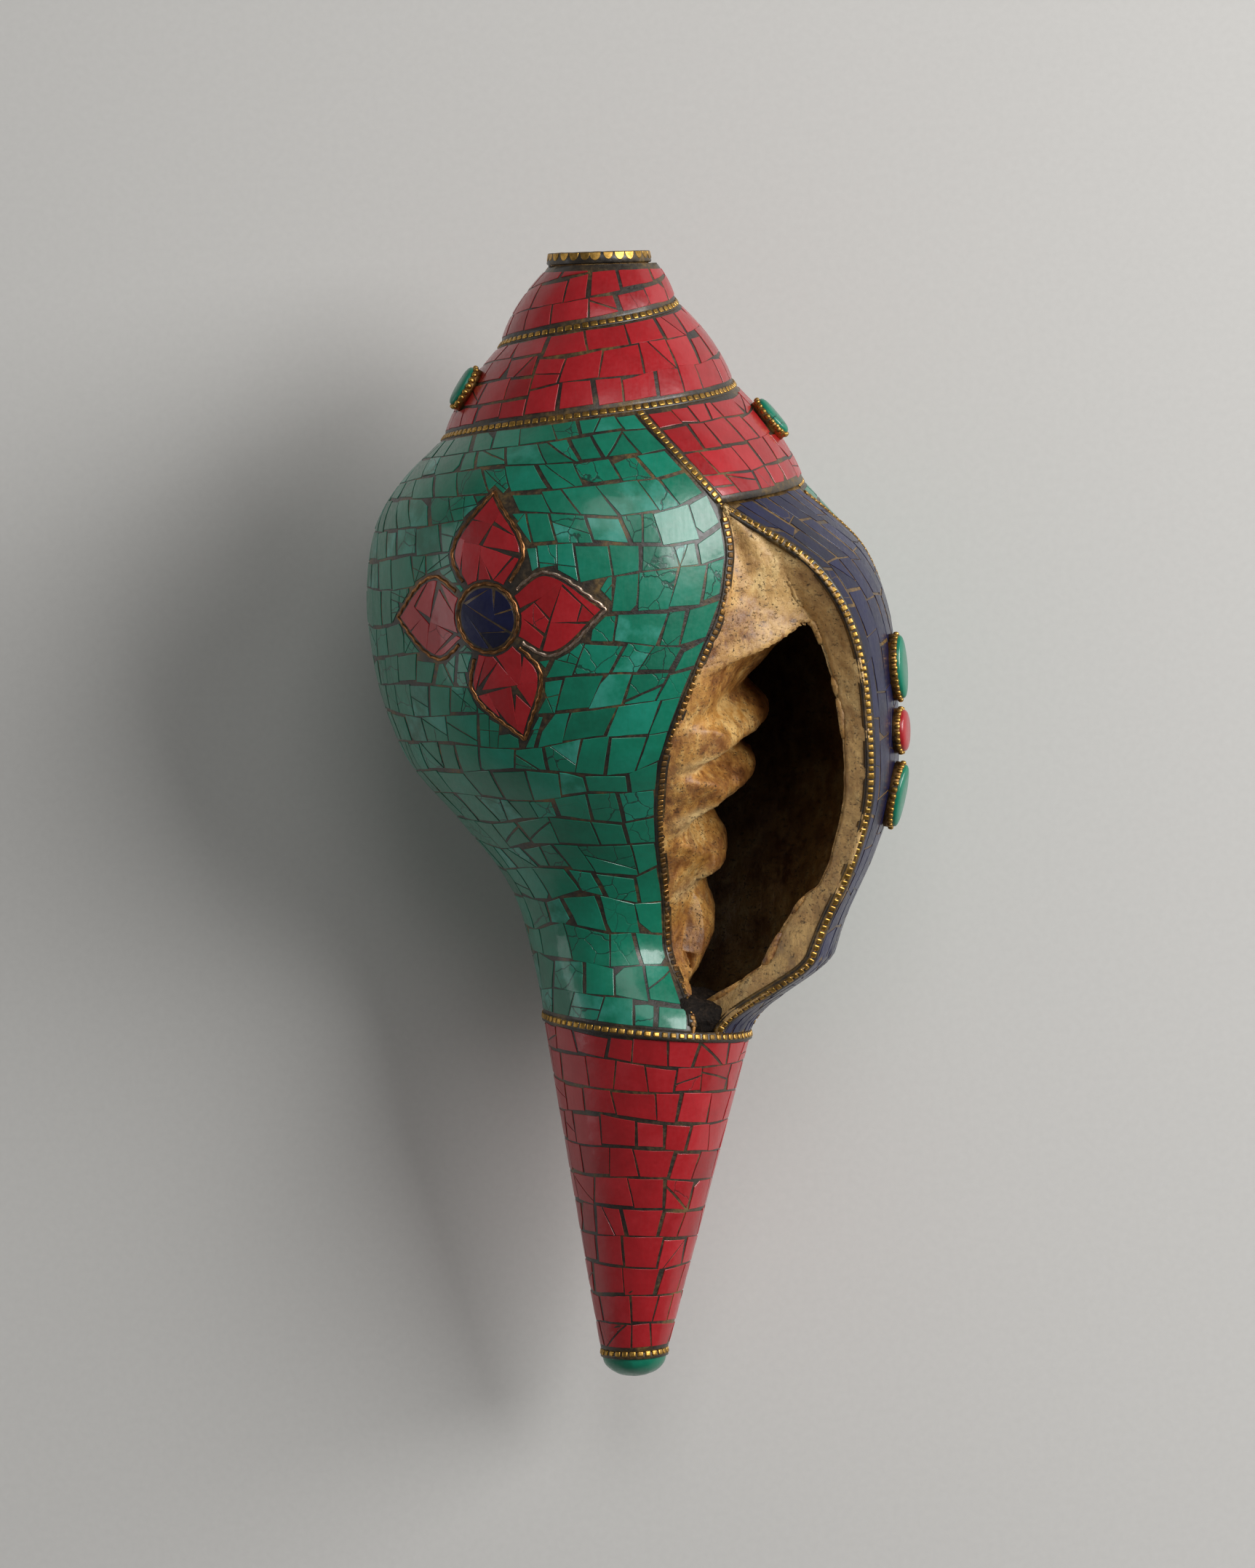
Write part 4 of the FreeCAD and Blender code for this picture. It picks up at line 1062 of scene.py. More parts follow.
def sweep(stuff, stations, section, closed):
    """Runs a section of (across, outward) along stations."""
    rings = []
    for n, (place, along, outward) in enumerate(stations):
        across = along.cross(outward).normalized()
        up = across.cross(along)
        shape = section(n) if callable(section) else section
        rings.append(stuff.ring([place + across * (b * MM) + up * (h * MM) for b, h in shape]))
    stuff.bands(rings)
    if closed:
        stuff.band(rings[0], rings[-1])
    else:
        stuff.faces += [tuple(rings[0][::-1]), tuple(rings[-1])]


def bead_tree():
    """Geometry Nodes: a rounded bead on every point, turned by its along and out vectors."""
    if "beads" in KEPT:
        return KEPT["beads"]
    tree = bpy.data.node_groups.new("beads on a line", "GeometryNodeTree")
    face = tree.interface
    face.new_socket("Geometry", in_out="INPUT", socket_type="NodeSocketGeometry")
    ids = {}
    for name in ("Length", "Breadth", "Height", "Roundness", "Finish"):
        kind = "NodeSocketMaterial" if name == "Finish" else "NodeSocketFloat"
        ids[name] = face.new_socket(name, in_out="INPUT", socket_type=kind).identifier
    face.new_socket("Geometry", in_out="OUTPUT", socket_type="NodeSocketGeometry")
    source = add(tree, "NodeGroupInput").outputs
    cube = add(tree, "GeometryNodeMeshCube", {"Size": (1.0, 1.0, 1.0)}).outputs["Mesh"]
    crease = reckon(tree, "SUBTRACT", 1.0, source["Roundness"])
    bead = {"Mesh": cube, "Level": 2, "Edge Crease": crease}
    bead = add(tree, "GeometryNodeSubdivisionSurface", bead).outputs[0]
    scale = {0: source["Length"], 1: source["Breadth"], 2: source["Height"]}
    scale = add(tree, "ShaderNodeCombineXYZ", scale).outputs[0]
    bead = add(tree, "GeometryNodeTransform", {"Geometry": bead, "Scale": scale}).outputs[0]
    along, out = (
        add(tree, "GeometryNodeInputNamedAttribute", {"Name": name}, data_type="FLOAT_VECTOR")
        for name in ("along", "out"))
    turn = {"Primary Axis": out.outputs[0], "Secondary Axis": along.outputs[0]}
    turn = add(tree, "FunctionNodeAxesToRotation", turn, primary_axis="Z", secondary_axis="X")
    vary = {0: (0.84, 0.86, 0.86), 1: (1.06, 1.06, 1.0), "Seed": 7}
    vary = add(tree, "FunctionNodeRandomValue", vary, data_type="FLOAT_VECTOR").outputs[0]
    made = add(tree, "GeometryNodeInstanceOnPoints", {
        "Points": source["Geometry"], "Instance": bead, "Rotation": turn.outputs[0],
        "Scale": vary}).outputs[0]
    for kind in ("GeometryNodeRealizeInstances", "GeometryNodeSetShadeSmooth"):
        made = add(tree, kind, {"Geometry": made}).outputs[0]
    made = add(tree, "GeometryNodeSetMaterial", {"Geometry": made, "Material": source["Finish"]})
    add(tree, "NodeGroupOutput", {"Geometry": made.outputs[0]})
    KEPT["beads"] = (tree, ids)
    return KEPT["beads"]


def thread_beads(name, stations, size, roundness, material, node):
    """Sets a bead on each station: size is its length, breadth and height."""
    mesh = bpy.data.meshes.new(name)
    mesh.from_pydata([tuple(s[0]) for s in stations], [], [])
    for label, which in (("along", 1), ("out", 2)):
        held = mesh.attributes.new(label, "FLOAT_VECTOR", "POINT")
        held.data.foreach_set("vector", [c for s in stations for c in s[which]])
    piece = linked(name, mesh)
    tree, ids = bead_tree()
    modifier = piece.modifiers.new("beads", "NODES")
    modifier.node_group = tree
    for key, value in zip(("Length", "Breadth", "Height"), size):
        modifier[ids[key]] = value * MM
    modifier[ids["Roundness"]] = roundness
    modifier[ids["Finish"]] = material
    plain_mesh(piece)
    if not piece.data.materials:
        piece.data.materials.append(material)
    joined(piece, "brass", node)


def suture_path(t):
    angle = mix(-890.0, 17.0, t)
    return on_skin(
        lambda a, d: suture_radius(a) + SLOPE * (d - suture_drop(a)), angle, suture_drop(angle))


def lip_path(t):
    """Down the spire's shoulder, then along the front corner of the outer lip."""
    if t < 0.2:
        angle, drop = spire_place(98, t / 0.2)
        if t / 0.2 < 0.98:
            return on_skin(upper_radius, angle, drop)
        return on_skin(whorl_radius, angle + 360, drop)
    v = (t - 0.2) / 0.8
    angle, drop = body_place(36, v)
    radius = whorl_radius(angle, drop)
    here, out = on_skin(whorl_radius, angle - math.degrees(0.3 * WIRE / radius), drop)
    ahead = (placed(angle + 1, radius, drop) - placed(angle, radius, drop)).normalized()
    return here, (out + ahead * smooth(v / 0.08)).normalized()


def columella_path(t):
    angle = inner_angle(t, 1.0)
    return on_skin(whorl_radius, angle, mix(corner_drop(), collar_drop(angle), t))


def ring_path(radius_of, drop_of, inset=0.0):
    """A ring round the canal whose beads face out and slightly up."""
    def path(t):
        angle = 360 * t
        radius, drop = radius_of(angle), drop_of(angle)
        here = placed(angle, radius - inset, drop)
        return here, (placed(angle, radius + 1, drop - 0.2) - here).normalized()
    return path


def make_wires():
    held = sizes()
    flat, fine = held["bead_pitch"], held["lip_bead_pitch"]
    broad, barrel = (1.12, 0.98, 0.6), (0.95, 1.0, 0.7)
    collar = ring_path(canal_reach, collar_drop)
    tip = ring_path(lambda a: TIP_RADIUS, lambda a: TIP_DROP, 0.1)
    back = sampled(lambda t: on_skin(whorl_radius, *body_place(32, t)), 500)[6:-6]
    lines = {
        "spire_suture": (sampled(suture_path, 1200), False, flat, broad, 0.35, kit().wire),
        "lip_edge": (
            sampled(lip_path, 900)[6:-6], False, fine, (0.98, 1.08, 0.8), 0.45, kit().wire),
        "columella_edge": (
            sampled(columella_path, 500)[12:-8], False, fine, barrel, 0.4, kit().dull_wire),
        "lapis_back": (back, False, fine, barrel, 0.45, kit().wire),
        "canal_collar": (sampled(collar, 400, True), True, flat, broad, 0.35, kit().wire),
        "tip_collar": (
            sampled(tip, 200, True), True, flat * 0.9, (1.0, 0.95, 0.6), 0.4, kit().wire),
    }
    # The beads are pressed into a low bank of pitch
    bank, section = Stuff(), (
        (-0.85, -0.8), (0.85, -0.8), (0.85, -0.21), (0.4, -0.14), (-0.4, -0.14), (-0.85, -0.21))
    for name, (line, closed, pitch, size, roundness, finish) in lines.items():
        sunk = [(p - out * ((size[2] / 2 - 0.05) * MM), out) for p, out in line]
        stations = spaced(sunk, pitch, closed)
        thread_beads(f"{name}_beads", stations, size, roundness, finish, f"{name}_wire")
        sweep(bank, spaced(line, 0.8, closed), section, closed)
    finished("wire_beds", bank, kit().pitch, "pitch")
    make_mouth_rim()


# Bare shell
def columella(direction, drop):
    """Columella at a place in the aperture: its plain radius, and what a fold adds."""
    slide = direction * (0.085 if direction > 0 else 0.05)
    share = (drop - slide - corner_drop()) / (COLLAR - corner_drop())
    plain = through(PILLAR_PLAIN, share)
    return plain, max(0.0, through(PILLAR, share) - plain)


def ledge_at(direction, drop, fold):
    """Share of cream on the sharp lower edge of a fold."""
    return clamp((columella(direction, drop - 1.0)[1] - fold) / 1.6)


def shell_row(s):
    """One row of the aperture, from the inner lip's wire round the cavity to the outer lip. Each
    point comes with its shares of painted shade, of cream and of warm brown."""
    lip, span = lip_angle(s), INNER_SPAN * through(INNER_LIP, s)
    wire, rim_wide, row = lip + span, through(RIM, s), []

    def drop_at(angle):
        return mix(corner_drop(), collar_drop(angle), s)

    lip_drop, wire_drop = drop_at(lip), drop_at(wire)
    lip_out = whorl_radius(lip, lip_drop)
    rim_in = placed(lip, lip_out - rim_wide, lip_drop)
    rim_out = placed(lip, lip_out - BARE_DEPTH, lip_drop)
    wire_at = placed(wire, whorl_radius(wire - 360, wire_drop) - BARE_DEPTH, wire_drop)
    if s <= OPENING_TOP:
        flat = FACE + POST + BACK + WALL
        hollow = placed((wire + lip) / 2, 0, lip_drop)
        opened = smooth((s - 0.09) / (OPENING_TOP - 0.09))
        inner_at = wire_at.lerp(rim_out, 0.7).lerp(rim_in, opened)
        for n in range(flat + EDGE):
            if n < FACE:
                t = 0.65 * n / FACE
            elif n < flat:
                t = mix(0.65, 0.7, (n - FACE) / (flat - FACE))
            else:
                t = mix(0.7, 1.0, (n - flat) / (EDGE - 1))
            here = wire_at.lerp(inner_at, t / 0.7) if t < 0.7 else \
                inner_at.lerp(rim_out, (t - 0.7) / 0.3)
            sink = 1.3 * math.sin(math.pi * t) + 0.5 * math.sin(math.tau * 1.5 * t)
            sink *= smooth(s / 0.1) * (1 - smooth((s - 0.17) / 0.05))
            here += (hollow - here).normalized() * sink * MM
            row.append((here, 0.0, mix(0.1, 0.36, t), 0.75 * (1 - t) ** 2 + 0.28 * t))
        return row
    foot, reached = smooth((s - 0.9) / 0.1), (s - OPENING_TOP) / 0.1
    for n in range(FACE):
        across = 1 - n / FACE
        direction = lip + span * across
        drop = drop_at(direction)
        outer = whorl_radius(direction - 360, drop)
        plain, fold = columella(direction, drop)
        radius = mix(min(plain, outer), outer, smooth((across - 0.12) / 0.88))
        radius = mix(radius, outer, foot * 0.5)
        radius += 1.15 * fold * smooth((1 - across) / 0.4) * (1 - foot)
        flat = smooth((across - reached) / 0.14 + 0.5) * (1 - smooth((reached - 0.85) / 0.3))
        here = placed(direction, min(radius, outer) - BARE_DEPTH, drop)
        here = here.lerp(wire_at.lerp(rim_in, 1 - across), flat)
        cream = ledge_at(direction, drop, fold) * smooth((1 - across) / 0.4)
        row.append((here, 0.0, cream, mix(0.85, 0.75 * across**2, flat)))

    def inward(t):
        """A direction inside the cavity, and the drop of its spiral there."""
        direction = lip - CAVITY_TURN * t
        return direction, drop_at(max(direction, 0)) - CAVITY_FALL * CAVITY_TURN * t

    for n in range(POST):
        t = (n / (POST - 1)) ** 1.25
        direction, drop = inward(t)
        plain, fold = columella(direction, drop)
        fade = 1 - smooth((t - 0.25) / 0.75)
        here = placed(direction, plain + fold * mix(0.35, 1.0, fade) - BARE_DEPTH, drop)
        # Painted shade, deepening as the columella turns away into the cavity
        dark = smooth((lip - direction - 14) / 55)
        row.append((here, dark, ledge_at(direction, drop, fold) * fade, 0.85))
    end, end_drop = lip - CAVITY_TURN, drop_at(0) - CAVITY_FALL * CAVITY_TURN
    near = columella(end, end_drop)[0]
    far = max(whorl_radius(end, end_drop) - LIP_WALL, near + 2)
    # The back of the cavity, all in painted shade
    for n in range(1, BACK + 1):
        row.append((placed(end, mix(near, far, n / (BACK + 1)), end_drop), 1.0, 0.0, 0.5))
    for n in range(WALL):
        t = (1 - n / (WALL - 1)) ** 1.3
        direction, drop = inward(t)
        thick = mix(rim_wide, LIP_WALL, smooth(CAVITY_TURN * t / 22))
        near = columella(direction, drop)[0]
        radius = max(whorl_radius(direction, drop) - thick, near + 1.2 + 1.2 * t)
        # Painted shade, deepening behind the outer lip
        behind = lip - direction
        dark = 0.2 * smooth(behind / 8) + 0.6 * smooth((behind - 10) / 70)
        row.append((placed(direction, radius, drop), dark, 0.0, 0.6))
    inner = max(lip_out - rim_wide, columella(lip, lip_drop)[0] + 1.2)
    for n in range(EDGE):
        t = n / (EDGE - 1)
        radius = mix(inner, lip_out - BARE_DEPTH, t)
        round_in = 0.55 * (1 - smooth(t / 0.14)) + 0.25 * smooth((t - 0.9) / 0.1)
        here = placed(lip - math.degrees(round_in / radius), radius, lip_drop)
        row.append((here, 0.0, 0.36 + 0.3 * (1 - smooth(t / 0.2)), 0.28))
    return row


def make_aperture():
    stuff, rings = Stuff(), []
    for n in range(1, 169):
        row = shell_row(n / 168)
        rings.append(stuff.ring([p[0] for p in row]))
        stuff.tints[-len(row):] = [(p[1], clamp(p[2]), p[3]) for p in row]
    for a, b in zip(rings, rings[1:]):
        stuff.band(a, b, False)
    piece = finished("shell_aperture", stuff, kit().shell, "shell", "conch_shell")
    # The ground face at the top looks up, out of the shell
    if sum(f.normal.z * f.area for f in piece.data.polygons[:6000]) < 0:
        piece.data.flip_normals()
    roughen(piece, (6.0, 0.5), (2.2, 0.22), (0.9, 0.1))
    wall = piece.modifiers.new("wall", "SOLIDIFY")
    wall.thickness, wall.offset = 0.7 * MM, -1.0
    plain_mesh(piece)


def lathe(stuff, profile, sides, tint_of=None, ring=False):
    """Turns a profile of (radius, height) about the axis; a ring's profile closes on itself."""
    rings = []
    for n, (radius, height) in enumerate(profile):
        points = [placed(-360 * k / sides, radius, -height) for k in range(sides)]
        rings.append(stuff.ring(points, tint_of(n, height) if tint_of else (0, 0, 0)))
    stuff.bands(rings + rings[:1] if ring else rings)
    if not ring:
        stuff.faces += [tuple(rings[0]), tuple(rings[-1][::-1])]


def make_mouth():
    """The sawn edge and the start of the blow hole, with shade painted darker down the hole."""
    mouth, profile = Stuff(), (
        (0.01, -14), (3.4, -14), (4.6, -10.5), (6.3, -8), (6.6, -6), (6.6, -0.4), (6.9, -0.06),
        (7.6, -0.02), (8.2, -0.03), (8.4, -0.3), (8.4, -1.95), (7.0, -3), (7.0, -15), (0.01, -15))
    # The first value is painted shade, full down the bore and fading out at its top; the sawn edge
    # and the outside take a flat quarter share
    lathe(mouth, profile, 72, lambda n, at: (smooth((-at - 1.0) / 4) if n < 6 else 0.25, 0.0, 0.6))
    piece = finished("shell_mouth", mouth, kit().shell, "shell", "conch_shell")
    roughen(piece, (2.0, 0.12), (0.8, 0.06))


def make_mouth_rim():
    """Half-round brass discs that hang from the rim's edge, set in a band of pitch."""
    band, profile = Stuff(), (
        (7.9, -1.95), (8.6, -2.0), (8.78, -1.8), (8.5, -0.12), (8.35, -0.02), (7.9, -0.06))
    lathe(band, profile, 72, ring=True)
    piece = finished("mouth_rim_pitch", band, kit().pitch, "pitch", "mouth_rim_wire")
    roughen(piece, (1.5, 0.06))
    discs, dice, count = Stuff(), random.Random(9), 27
    for n in range(count):
        middle = 360 * n / count + dice.uniform(-1, 1)
        radius = dice.uniform(0.78, 0.94)

        def on_band(p, depth):
            return placed(
                middle - math.degrees(p.real / 8.6), 8.62 - depth - p.imag * 0.17, 0.12 - p.imag)

        outline = [complex(radius * math.cos(a), 1.45 * radius * math.sin(a))
                   for a in (math.pi * (1 + k / 10) for k in range(11))]
        set_chip(discs, outline, on_band, 0.04, (0, 0, 0), dice, 0.5)
    finished("mouth_rim_discs", discs, kit().wire, "brass", "mouth_rim_wire", crisp=30)


def make_plug():
    stuff, rings, sides, stacks = Stuff(), [], 48, 26
    centre, reach = (9.6, -8.0, -127.8), (9.6, 6.9, 4.4)
    for n in range(1, stacks):
        b = math.pi * n / stacks - math.pi / 2
        across, deep = reach[0] * math.cos(b), reach[1] * math.cos(b)
        rings.append(stuff.ring([
            laid(centre[0] + across * math.cos(a), centre[1] + deep * math.sin(a),
                 centre[2] + reach[2] * math.sin(b))
            for a in (math.tau * k / sides for k in range(sides))]))
    for a, b in zip(rings, rings[1:]):
        stuff.band(a, b)
    stuff.fan(rings[-1], laid(centre[0], centre[1], centre[2] + reach[2]))
    stuff.fan(rings[0], laid(centre[0], centre[1], centre[2] - reach[2]), flip=True)
    piece = finished("pitch_plug", stuff, kit().lump, "pitch", "canal_pitch_plug")
    roughen(piece, (5.0, 0.9), (2.4, 0.6), (0.9, 0.25))


# The inlaid flower
def inlaid(stuff, outline, count, dice, tint_of):
    """Breaks an outline across, and its largest part again, leaving wedge-shaped gaps, and sets
    the shards."""
    parts = [outline]
    for _ in range(count - 1):
        parts.sort(key=area_of)
        largest = parts.pop()
        hub = centre_of(largest)
        far = max(largest, key=lambda p: abs(p - hub))
        way = cmath.phase(far - hub) + dice.gauss(0, 0.4)
        for side in (1, -1):
            normal = side * cmath.rect(1, way + side * abs(dice.gauss(0, 0.08)))
            half = cut(largest, hub + normal * dice.uniform(0.05, 0.17), normal)
            if len(half) > 2:
                parts.append(half)
    for shard in parts:
        depth = sizes()["chip_depth"] - 0.02
        set_chip(stuff, shard, FLOWER.point, depth, tint_of(dice), dice)


def twisted(stuff, line, closed):
    """Two strands twisted together, laid along a line of the flower's plane."""
    dense = []
    for a, b in zip(line, line[1:] + line[:1] if closed else line[1:]):
        steps = max(1, round(abs(b - a) / 0.3))
        dense += [mix(a, b, k / steps) for k in range(steps)]
    path = []
    for p in dense if closed else dense + [line[-1]]:
        here = FLOWER.point(p, 0.42)
        path.append((here, (here - FLOWER.point(p, 1.42)).normalized()))
    stations = spaced(path, 0.3, closed)
    rounds = round(len(stations) * 0.3 / sizes()["twist"])

    def section(n):
        shift = math.tau * rounds * n / len(stations) / 2
        shape = []
        for k in range(10):
            a = math.tau * k / 10
            r = 0.34 + 0.085 * math.cos(2 * (a - shift))
            shape.append((r * math.cos(a), r * math.sin(a)))
        return shape

    sweep(stuff, stations, section, closed)


def make_flower():
    dice, joint = random.Random(41), INLAY_WIRE / 2 + 0.25
    stones, wires, bright, boss, centre, bed = (Stuff() for _ in range(6))
    for number, turn in enumerate(PETAL_TURNS):
        chip = softened(petal_line(-joint))
        first = math.degrees(cmath.phase(chip[0]))
        petal = outlined([turned(p, turn) for p in chip + arc(BOSS + joint, -first, first, 7)])
        inlaid(stones, petal, 9 - number % 2, dice, tint_coral)
        line = [turned(p, turn) for p in softened(petal_line(0.0))]
        twisted(bright if number == 1 else wires, line, False)
    finished("flower_petal_shards", stones, kit().coral, "coral", "flower_petal_stones", crisp=22)
    inlaid(boss, arc(BOSS - joint, 0, 360, 41)[:-1], 7, dice, tint_lapis)
    finished("flower_boss_shards", boss, kit().lapis, "lapis", "flower_centre_stone", crisp=22)
    ring = arc(BOSS - 0.3, 0, 360, 41)[:-1]
    set_chip(bed, ring, FLOWER.point, 0.26, (0, 0, 0), random.Random(5))
    finished("flower_boss_pitch", bed, kit().dusted, "pitch", "flower_centre_stone")
    finished("flower_petal_twist", wires, kit().copper, "brass", "flower_petal_wires")
    finished("flower_worn_twist", bright, kit().silver, "brass", "flower_petal_wires")
    twisted(centre, arc(BOSS, 0, 360, 61)[:-1], True)
    finished("flower_boss_twist", centre, kit().copper, "brass", "flower_centre_wire")


# Raised stones
def ornament(name, place, radius_of, size, leaf, green, seed):
    """A domed stone in a beaded bezel. size: its length and width."""
    middle = skin(radius_of, *place, 0.0)
    out = (middle - skin(radius_of, *place, 1.2)).normalized()
    side = FACING.cross(out).normalized()
    up, (length, width) = out.cross(side), size
    shares = [(math.sin(math.tau * n / 64), math.cos(math.tau * n / 64)) for n in range(64)]
    if leaf:
        shares = [(x * abs(x) ** 0.35, y) for x, y in shares]

    def ring(inset, height):
        across, along = 1 - inset / (width / 2), 1 - inset / (length / 2)
        return [middle + side * (x * width / 2 * across * MM) + up * (y * length / 2 * along * MM)
                + out * (height * MM) for x, y in shares]

    stone, tint = Stuff(), (0.5, 0.0, random.Random(seed).uniform(0.3, 0.9))
    levels = ((0.75, -0.6), (0.75, 1.35), (0.86, 1.55), (1.15, 1.74), (1.6, 1.88), (2.1, 1.95))
    rings = [stone.ring(ring(*at), tint) for at in levels]
    stone.bands(rings)
    stone.faces.append(tuple(rings[0]))
    stone.fan(rings[-1], middle + out * (1.97 * MM), tint, flip=True)
    kind = "turquoise" if green else "coral"
    finished(f"{name}_dome", stone, getattr(kit(), kind), kind, f"{name}_stone")
    band = Stuff()
    rings = [band.ring(ring(*at)) for at in ((0.4, -0.5), (0.4, 1.0), (0.78, 1.12), (0.78, -0.5))]
    band.bands(rings + rings[:1])
    finished(f"{name}_band", band, kit().dull_wire, "brass", f"{name}_bezel")
    stations = spaced([(point, out) for point in ring(0.52, 0.72)], 1.12, True)
    thread_beads(
        f"{name}_beads", stations, (1.06, 0.96, 1.25), 0.85, kit().wire, f"{name}_bezel")


def make_stones():
    small, stride = (8.6, 5.6), (8.4 + 12.0) / 2 + 0.4
    ornament("left_cabochon", (-555.0, 22.3), spire_radius, small, False, True, 1)
    ornament("right_cabochon", (-348.0, 29.0), upper_radius, small, False, True, 2)
    flank = (("upper_leaf", -stride, 12.0), ("flank_oval", 0, 8.4), ("lower_leaf", stride, 12.0))
    for seed, (name, down, length) in enumerate(flank, start=3):
        leaf = name != "flank_oval"
        ornament(name, (FLANK_ANGLE, FLANK_DROP + down), whorl_radius, (length, 7.4), leaf, leaf,
                 seed)


def make_tip():
    stuff, shoulder, foot = Stuff(), TIP_DROP + MARGIN, LENGTH - 0.22
    profile = [(0.01, -foot)]
    for n in range(1, 15):
        a = math.radians(90 * (14 - n) / 14)
        down = shoulder + (foot - shoulder) * math.sin(a)
        profile.append((CAP_RADIUS * math.cos(a) ** 0.9, -down))
    profile += [(CAP_RADIUS - 0.05, -(TIP_DROP + 0.35)), (4.4, -(TIP_DROP + 0.2)),
                (0.01, -(TIP_DROP + 0.15))]
    lathe(stuff, profile, 64, lambda n, at: (0.42, 0.0, 0.4))
    piece = finished("tip_cap_stone", stuff, kit().turquoise, "turquoise", "turquoise_tip_cap")
    roughen(piece, (3.0, 0.16), (1.2, 0.05))


def soft_light(name, place, aim_height, wide, high, watts):
    data = bpy.data.lights.new(name, "AREA")
    data.shape, data.size, data.size_y, data.energy = "RECTANGLE", wide, high, watts
    lamp = linked(name, data)
    lamp.location = place
    aim = Vector((0, 0, aim_height)) - Vector(place)
    lamp.rotation_euler = aim.to_track_quat("-Z", "Y").to_euler()


def make_stage(scene):
    mesh = bpy.data.meshes.new("floor")
    mesh.from_pydata([(-3, -3, 0), (3, -3, 0), (3, 3, 0), (-3, 3, 0)], [], [(0, 1, 2, 3)])
    floor = linked("floor", mesh)
    # Board painted matt: pale and plain, with a grain that hardly shows
    material, tree = finish_named("painted board")
    grain = level(tree, object_noise(tree, 1.2, 3.0), 0.3, 0.7, 0.0, 0.06)
    colour = blend(tree, grain, tuple(scene.conch_colours.floor), "#8f8d89")
    shade(tree, Base_Color=colour, Roughness=0.8)
    mesh.materials.append(material)
    # The camera tips back and leans as the photograph's does
    tilt, lean = math.radians(3.5), math.radians(1.855)
    back = Vector((0, -math.sin(tilt), math.cos(tilt)))
    up0 = (Vector((0, 1, 0)) - back * back.y).normalized()
    right0 = up0.cross(back)
    up = up0 * math.cos(lean) + right0 * math.sin(lean)
    right = right0 * math.cos(lean) - up0 * math.sin(lean)
    data = bpy.data.cameras.new("camera")
    data.sensor_fit, data.sensor_height, data.lens = "VERTICAL", 36.0, 164.5
    data.clip_start, data.clip_end = 0.1, 10
    camera = linked("camera", data)
    turn = Matrix((right, up, back)).transposed().to_4x4()
    turn.translation = SEAT + right * (4.81 * MM) - up * (89.16 * MM) + back * 1.2
    camera.matrix_world = turn
    scene.camera = camera
    soft_light("key", (0.75, 0.25, 0.62), 0.03, 0.42, 0.75, 9.8)
    soft_light("fill", (-1.1, 0.0, 0.22), 0.04, 0.9, 0.3, 1.3)
    soft_light("top", (0.1, 0.5, 1.1), 0.03, 0.5, 0.5, 1.6)
    world = scene.world = bpy.data.worlds.new("studio")
    world.use_nodes = True
    background = world.node_tree.nodes["Background"].inputs
    background[0].default_value, background[1].default_value = linear("#dcdcdc"), 0.17
    scene.view_settings.view_transform = "Standard"


class CONCH_OT_stage(bpy.types.Operator):
    """Pale floor, soft studio light and the photograph's camera"""

    bl_idname = "conch.stage"
    bl_label = "Stage"

    def execute(self, context):
        make_stage(context.scene)
        return {"FINISHED"}


class CONCH_OT_spire(bpy.types.Operator):
    """Coral chips in pitch on the spire, course by course down its spiral"""

    bl_idname = "conch.spire"
    bl_label = "Coral spire"

    def execute(self, context):
        make_spire()
        return {"FINISHED"}


class CONCH_OT_body(bpy.types.Operator):
    """Turquoise chips in pitch on the last whorl, cut to fit round the flower"""

    bl_idname = "conch.body"
    bl_label = "Turquoise body"

    def execute(self, context):
        make_body()
        return {"FINISHED"}


class CONCH_OT_lapis(bpy.types.Operator):
    """Long lapis chips behind the outer lip"""

    bl_idname = "conch.lapis"
    bl_label = "Lapis lip"

    def execute(self, context):
        make_lapis()
        return {"FINISHED"}


class CONCH_OT_canal(bpy.types.Operator):
    """Coral chips in pitch down the canal"""

    bl_idname = "conch.canal"
    bl_label = "Coral canal"

    def execute(self, context):
        make_canal()
        return {"FINISHED"}


class CONCH_OT_shell(bpy.types.Operator):
    """The bare shell in the aperture and round the blow hole, and the pitch at its foot"""

    bl_idname = "conch.shell"
    bl_label = "Bare shell"

    def execute(self, context):
        make_aperture()
        make_mouth()
        make_plug()
        return {"FINISHED"}


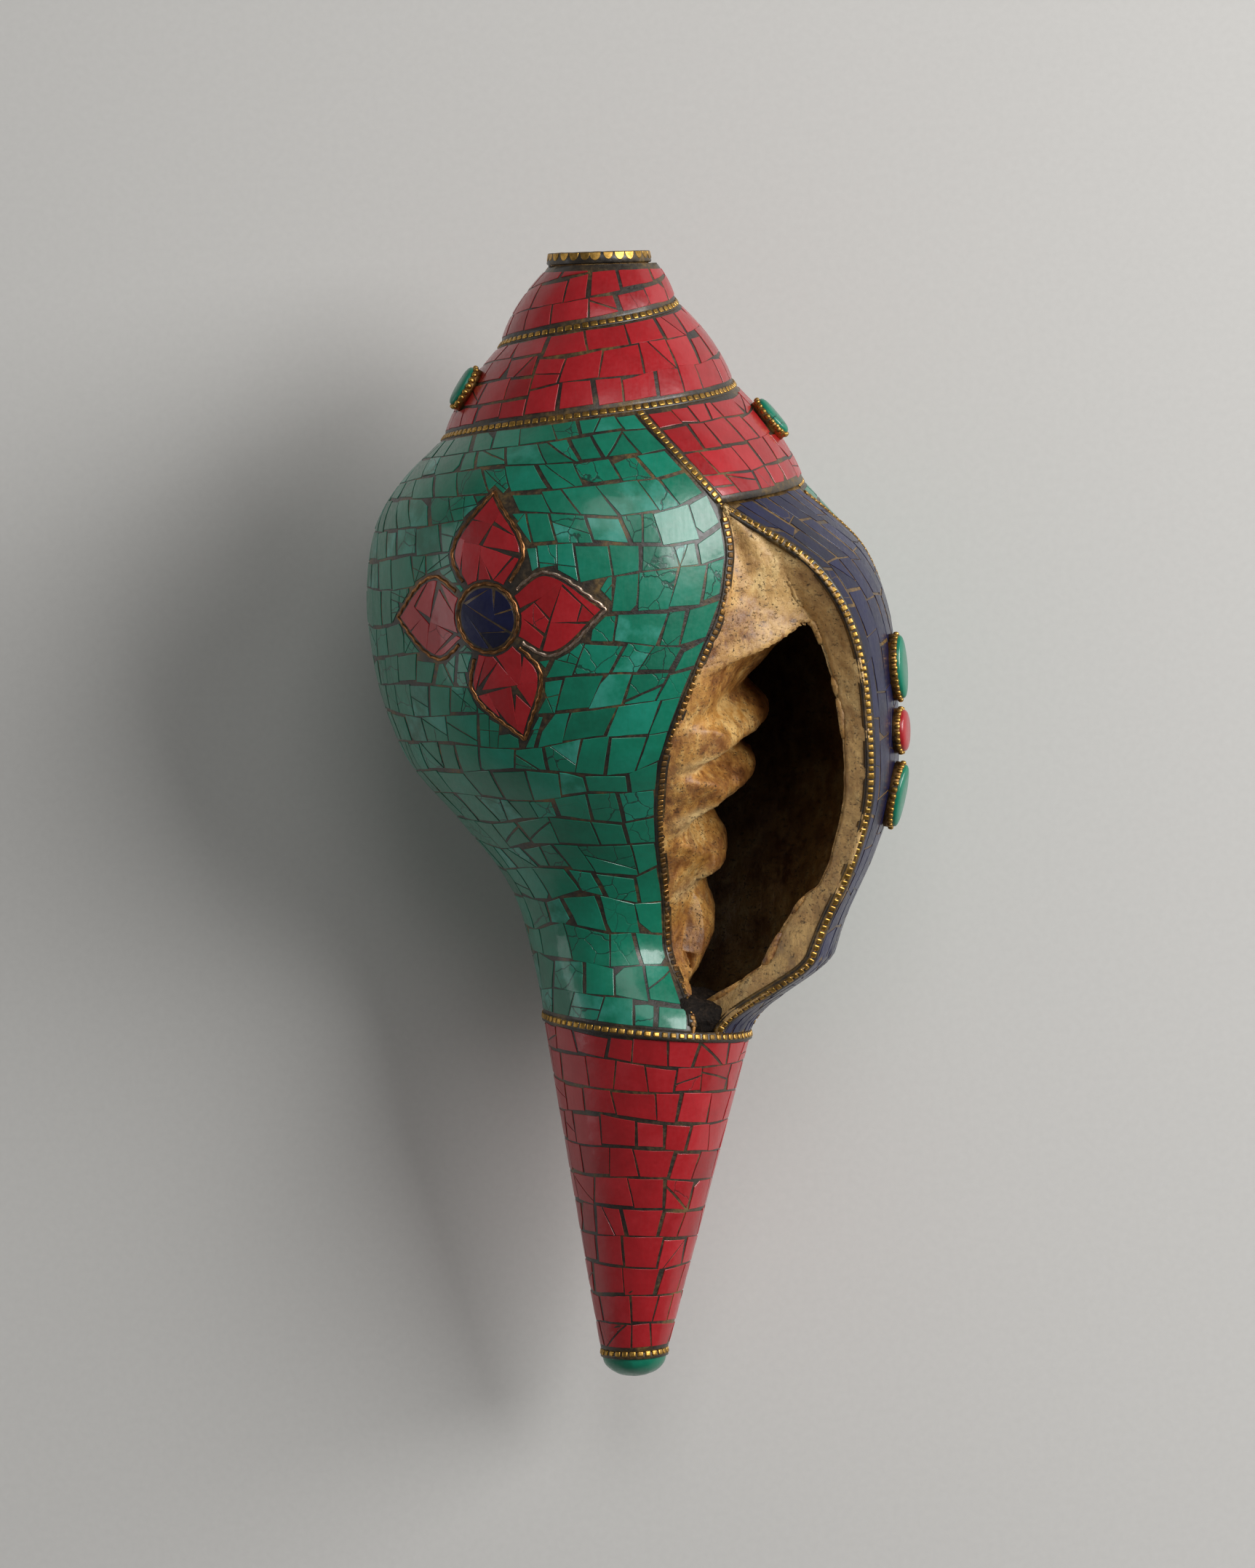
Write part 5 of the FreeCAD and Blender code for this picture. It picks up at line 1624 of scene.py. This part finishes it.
class CONCH_OT_wires(bpy.types.Operator):
    """Beaded brass wires between the fields of mosaic, and the discs of the blow hole's rim"""

    bl_idname = "conch.wires"
    bl_label = "Beaded wires"

    def execute(self, context):
        make_wires()
        return {"FINISHED"}


class CONCH_OT_flower(bpy.types.Operator):
    """The inlaid flower with its twisted wires"""

    bl_idname = "conch.flower"
    bl_label = "Flower"

    def execute(self, context):
        make_flower()
        return {"FINISHED"}


class CONCH_OT_stones(bpy.types.Operator):
    """Raised stones in beaded bezels"""

    bl_idname = "conch.stones"
    bl_label = "Raised stones"

    def execute(self, context):
        make_stones()
        return {"FINISHED"}


class CONCH_OT_tip(bpy.types.Operator):
    """Rounded turquoise cap on the canal's tip"""

    bl_idname = "conch.tip"
    bl_label = "Tip cap"

    def execute(self, context):
        make_tip()
        return {"FINISHED"}


class CONCH_PT_panel(bpy.types.Panel):
    """The trumpet's pieces in the order of their making"""

    bl_label = "Conch trumpet"
    bl_idname = "CONCH_PT_panel"
    bl_space_type = "VIEW_3D"
    bl_region_type = "UI"
    bl_category = "Conch"

    def draw(self, context):
        for held in (context.scene.conch_sizes, context.scene.conch_colours):
            for key in held.__annotations__:
                self.layout.prop(held, key)
        for step in STEPS:
            self.layout.operator(step.bl_idname)


STEPS = (
    CONCH_OT_stage, CONCH_OT_spire, CONCH_OT_body, CONCH_OT_lapis, CONCH_OT_canal, CONCH_OT_shell,
    CONCH_OT_wires, CONCH_OT_flower, CONCH_OT_stones, CONCH_OT_tip,
)
CLASSES = (ConchSizes, ConchColours) + STEPS + (CONCH_PT_panel,)


def register():
    for item in CLASSES:
        bpy.utils.register_class(item)
    bpy.types.Scene.conch_sizes = bpy.props.PointerProperty(type=ConchSizes)
    bpy.types.Scene.conch_colours = bpy.props.PointerProperty(type=ConchColours)


def unregister():
    del bpy.types.Scene.conch_colours
    del bpy.types.Scene.conch_sizes
    for item in reversed(CLASSES):
        bpy.utils.unregister_class(item)


def main():
    register()
    for step in STEPS:
        family, name = step.bl_idname.split(".")
        getattr(getattr(bpy.ops, family), name)()


if __name__ == "__main__":
    main()
